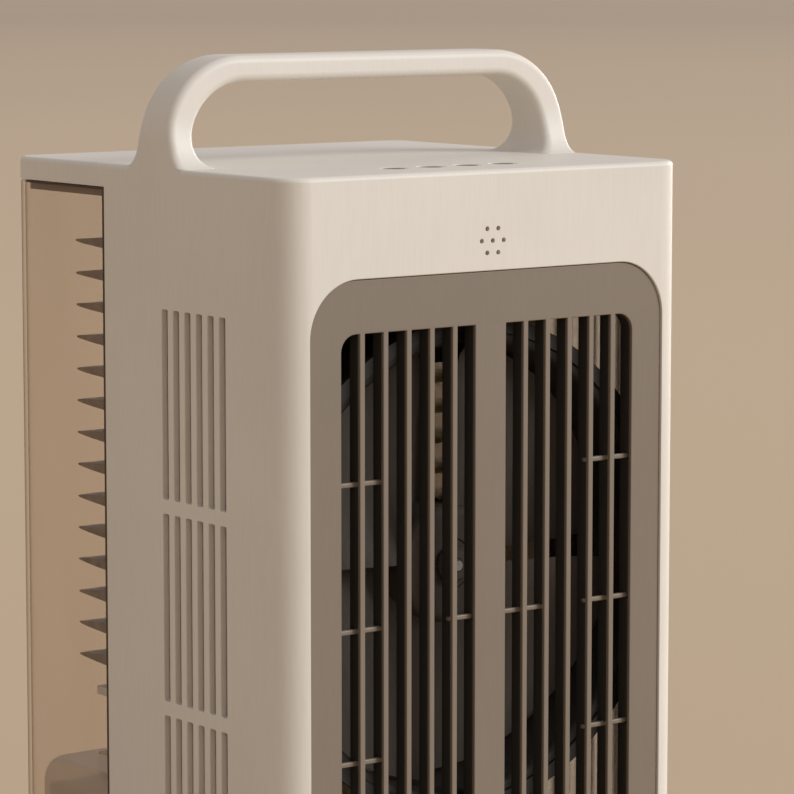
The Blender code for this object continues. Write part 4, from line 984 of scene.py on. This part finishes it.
def tank():
    """Smoked tank with round shoulders and a filler opening, with water in it."""
    low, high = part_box("water_tank")
    radius, shoulder, inset, play = 8 * MM, 12 * MM, 2.5 * MM, 0.1 * MM

    def outline(growth):
        return [rectangle(low.x - growth, high.x + growth, low.y - growth, high.y + growth, radius, 14)]

    def inside(gap, corner):
        return rectangle(low.x + gap, high.x - gap, low.y + gap, high.y - gap, corner, 10)

    levels = [(low.z, -0.5 * MM), (low.z + 0.5 * MM, 0)]
    for i in range(13):
        a = math.radians(90 * i / 12)
        levels.append((high.z - shoulder * (1 - math.sin(a)), -shoulder * (1 - math.cos(a)) * 0.55))
    body = plate("tank_shell", "XY", outline, levels)
    carve(body, plate("hollow", "XY", fixed(inside(inset, 6 * MM)),
                      [(low.z + inset, 0), (high.z - 14 * MM, 0)]))
    mouth = rectangle(low.x + 26 * MM, high.x - 26 * MM, low.y + 26 * MM, high.y - 11 * MM, 5 * MM, 10)
    carve(body, plate("mouth", "XY", fixed(mouth), [(high.z - 20 * MM, 0), (high.z + MM, 0)]))
    piece(body, "tank", "rear_module", ["water_tank"], angle=40)
    water = plate("tank_water", "XY", fixed(inside(inset + play, 5.9 * MM)),
                  [(low.z + inset + play, 0), (high.z - 32 * MM, 0)])
    piece(water, None, "rear_module", paint=WATER)


def fins():
    """Felt fins with a thick root, a thin tip and a slightly uneven surface."""
    for number in range(1, 15):
        name = f"wick_fin_{number:02d}"
        low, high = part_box(name)
        z, root, tip = (low.z + high.z) / 2, low.y, high.y
        half = (high.z - low.z) / 2
        reach = tip - root
        profile = [(root + reach * (1 - (1 - t) ** 1.25), half * (1 - t) ** 0.9 + UNEVEN * t)
                   for t in (k / 12 for k in range(13))]
        profile.append((tip, 0.0))
        loop = [(y, -h) for y, h in profile] + [(y, h) for y, h in reversed(profile[:-1])]
        rings = []
        for i in range(57):
            x = -FIN_HALF + 2 * FIN_HALF * i / 56
            ring = []
            for y, h in loop:
                wave = UNEVEN * noise.noise((x * 90, y * 60, number * 3.7)) * (y - root) / reach
                shrink = UNEVEN * abs(noise.noise((x * 260, y * 200, number * 5.1)))
                ring.append((x, y - (shrink if y > root + MM else 0), z + h * 0.93 + wave))
            rings.append(ring)
        piece(loft(f"wick_pad_{number:02d}", rings), "wick", "rear_module", [name], angle=50)


# Small pieces that the frame has no node for


def gasket():
    """Foam frame between the grille and the fan shroud."""
    outer = rectangle(-113.6 * MM, 113.6 * MM, 39.5 * MM, 369 * MM, 3 * MM, 6)
    inner = rectangle(-107.6 * MM, 107.6 * MM, 49.5 * MM, 358.5 * MM, 3 * MM, 6)
    levels = [(depth_in(10 * MM), 0), (depth_in(15.7 * MM), 0)]
    foam = plate("foam_gasket", "XZ", fixed(outer, inner), levels)
    piece(bevel(foam, 0.4 * MM), None, paint=FOAM)


def duct_shields():
    """Dark curved walls behind the motor bracket, one on each side of the fan."""
    section = rectangle(104.0 * MM, 106.0 * MM, depth_in(64.2 * MM), depth_in(96 * MM), 0.6 * MM, 3)
    half_span, steps = 50, 36
    for name, middle in (("right", 0), ("left", 180)):
        rings = []
        for i in range(steps + 1):
            x, z = polar(1, middle - half_span + 2 * half_span * i / steps)
            rings.append([(u * x, y, FAN_Z + u * z) for u, y in section])
        piece(loft(f"duct_shield_{name}", rings), "dark")


def rear_screen():
    """Fine golden mesh across the body's rear opening, in a thin frame."""
    low, high, half, border = down(372 * MM), down(17 * MM), 113 * MM, 3 * MM
    outer = rectangle(-half, half, low, high, 3 * MM, 4)
    inner = rectangle(border - half, half - border, low + border, high - border, 2 * MM, 4)
    back = BODY_BACK - 0.6 * MM
    piece(plate("rear_screen_frame", "XZ", fixed(outer, inner), [(back - 1.6 * MM, 0), (back, 0)]), "dark")
    mesh = plate("rear_screen_mesh", "XZ", fixed(inner), [(back - 1.0 * MM, 0), (back - 0.7 * MM, 0)])
    piece(mesh, "filter", paint=SCREEN)


def cable_tray():
    """Dark cross member behind the duct's top."""
    outline = rectangle(-74 * MM, 74 * MM, down(96 * MM), down(62 * MM), 4 * MM, 6)
    tray = plate("cable_tray", "XZ", fixed(outline), [(depth_in(65 * MM), 0), (depth_in(67 * MM), 0)])
    piece(bevel(tray, 0.4 * MM), "dark")


# CAD nodes that keep their shape


def keep(name):
    """Gives a CAD node its slot's material and softened edges."""
    obj = frame["nodes"][name]
    paint = PAINTS[SLOT_OF[name]]
    if obj.material_slots:
        for holder in obj.material_slots:
            holder.material = paint
    else:
        obj.data.materials.append(paint)
    weld = obj.modifiers.new("weld", "WELD")
    weld.merge_threshold = 1e-6
    bevel(obj, 0.2 * MM, 2, 50)


housing()
base()
bezel()
grille_fins()
shroud()
duct()
bracket()
motor()
rotor()
screws()
buttons()
feet()
cover()
tank()
fins()
gasket()
duct_shields()
rear_screen()
cable_tray()
for kept in frame["nodes"]:
    if not frame["nodes"][kept].hide_render:
        keep(kept)


# Camera, light and floor


CAMERA_PLACE, CAMERA_PITCH, CAMERA_TURN = (-1.0649, -1.4541, 0.5132), 83, -37
LENS, SENSOR = 169.7, 36

camera = bpy.data.objects.new("camera", bpy.data.cameras.new("camera"))
bpy.context.scene.collection.objects.link(camera)
camera.location = CAMERA_PLACE
camera.rotation_euler = (math.radians(CAMERA_PITCH), 0, math.radians(CAMERA_TURN))
camera.data.lens, camera.data.sensor_width = LENS, SENSOR
camera.data.clip_start, camera.data.clip_end = 0.05, 200
bpy.context.scene.camera = camera


def sun(name, toward, strength, spread, colour):
    """A distant soft light. toward is the direction from the object to the light."""
    lamp = bpy.data.lights.new(name, "SUN")
    lamp.energy, lamp.color, lamp.angle = strength, colour, math.radians(spread)
    obj = bpy.data.objects.new(name, lamp)
    bpy.context.scene.collection.objects.link(obj)
    obj.rotation_euler = Vector(toward).to_track_quat("Z", "Y").to_euler()


sun("key", (0.62, -0.76, 0.45), 2.38, 34, (0.94, 0.98, 1.02))
sun("side", (1.0, 0.30, 0.05), 2.0, 30, (1.0, 0.98, 0.94))

world = bpy.data.worlds.new("studio")
bpy.context.scene.world = world
world.use_nodes = True
sky = world.node_tree.nodes["Background"]
sky.inputs["Color"].default_value = (0.50, 0.48, 0.48, 1)
sky.inputs["Strength"].default_value = 1.0
bpy.context.scene.view_settings.view_transform = "Standard"

# The floor is painted darker with distance from the object: painted shade standing in for the falloff of the
# light, with a faint random tone on top.
NEAR_FLOOR_LIT, FAR_FLOOR_SHADED = (0.550, 0.410, 0.268), (0.400, 0.298, 0.210)

paint, tree, bsdf = tree_of("studio_floor")
reach = node(tree, "ShaderNodeVectorMath", {0: places(tree)}, operation="LENGTH").outputs["Value"]
cloud = remap(tree, field(tree, 0.25, 3), -0.04, 0.04)
far = maths(tree, "ADD", remap(tree, reach, 0, 1, 2.5, 22), cloud)
feed(tree, bsdf, {"Base Color": shade(tree, far, NEAR_FLOOR_LIT, FAR_FLOOR_SHADED), "Roughness": 0.9})
bumped(tree, bsdf, field(tree, 300), 0.1, 0.001)
floor = plate("floor", "XY", fixed(rectangle(-60, 60, -60, 60, 30, 16)), [(-0.02, 0), (0, 0)])
floor.data.materials.append(paint)
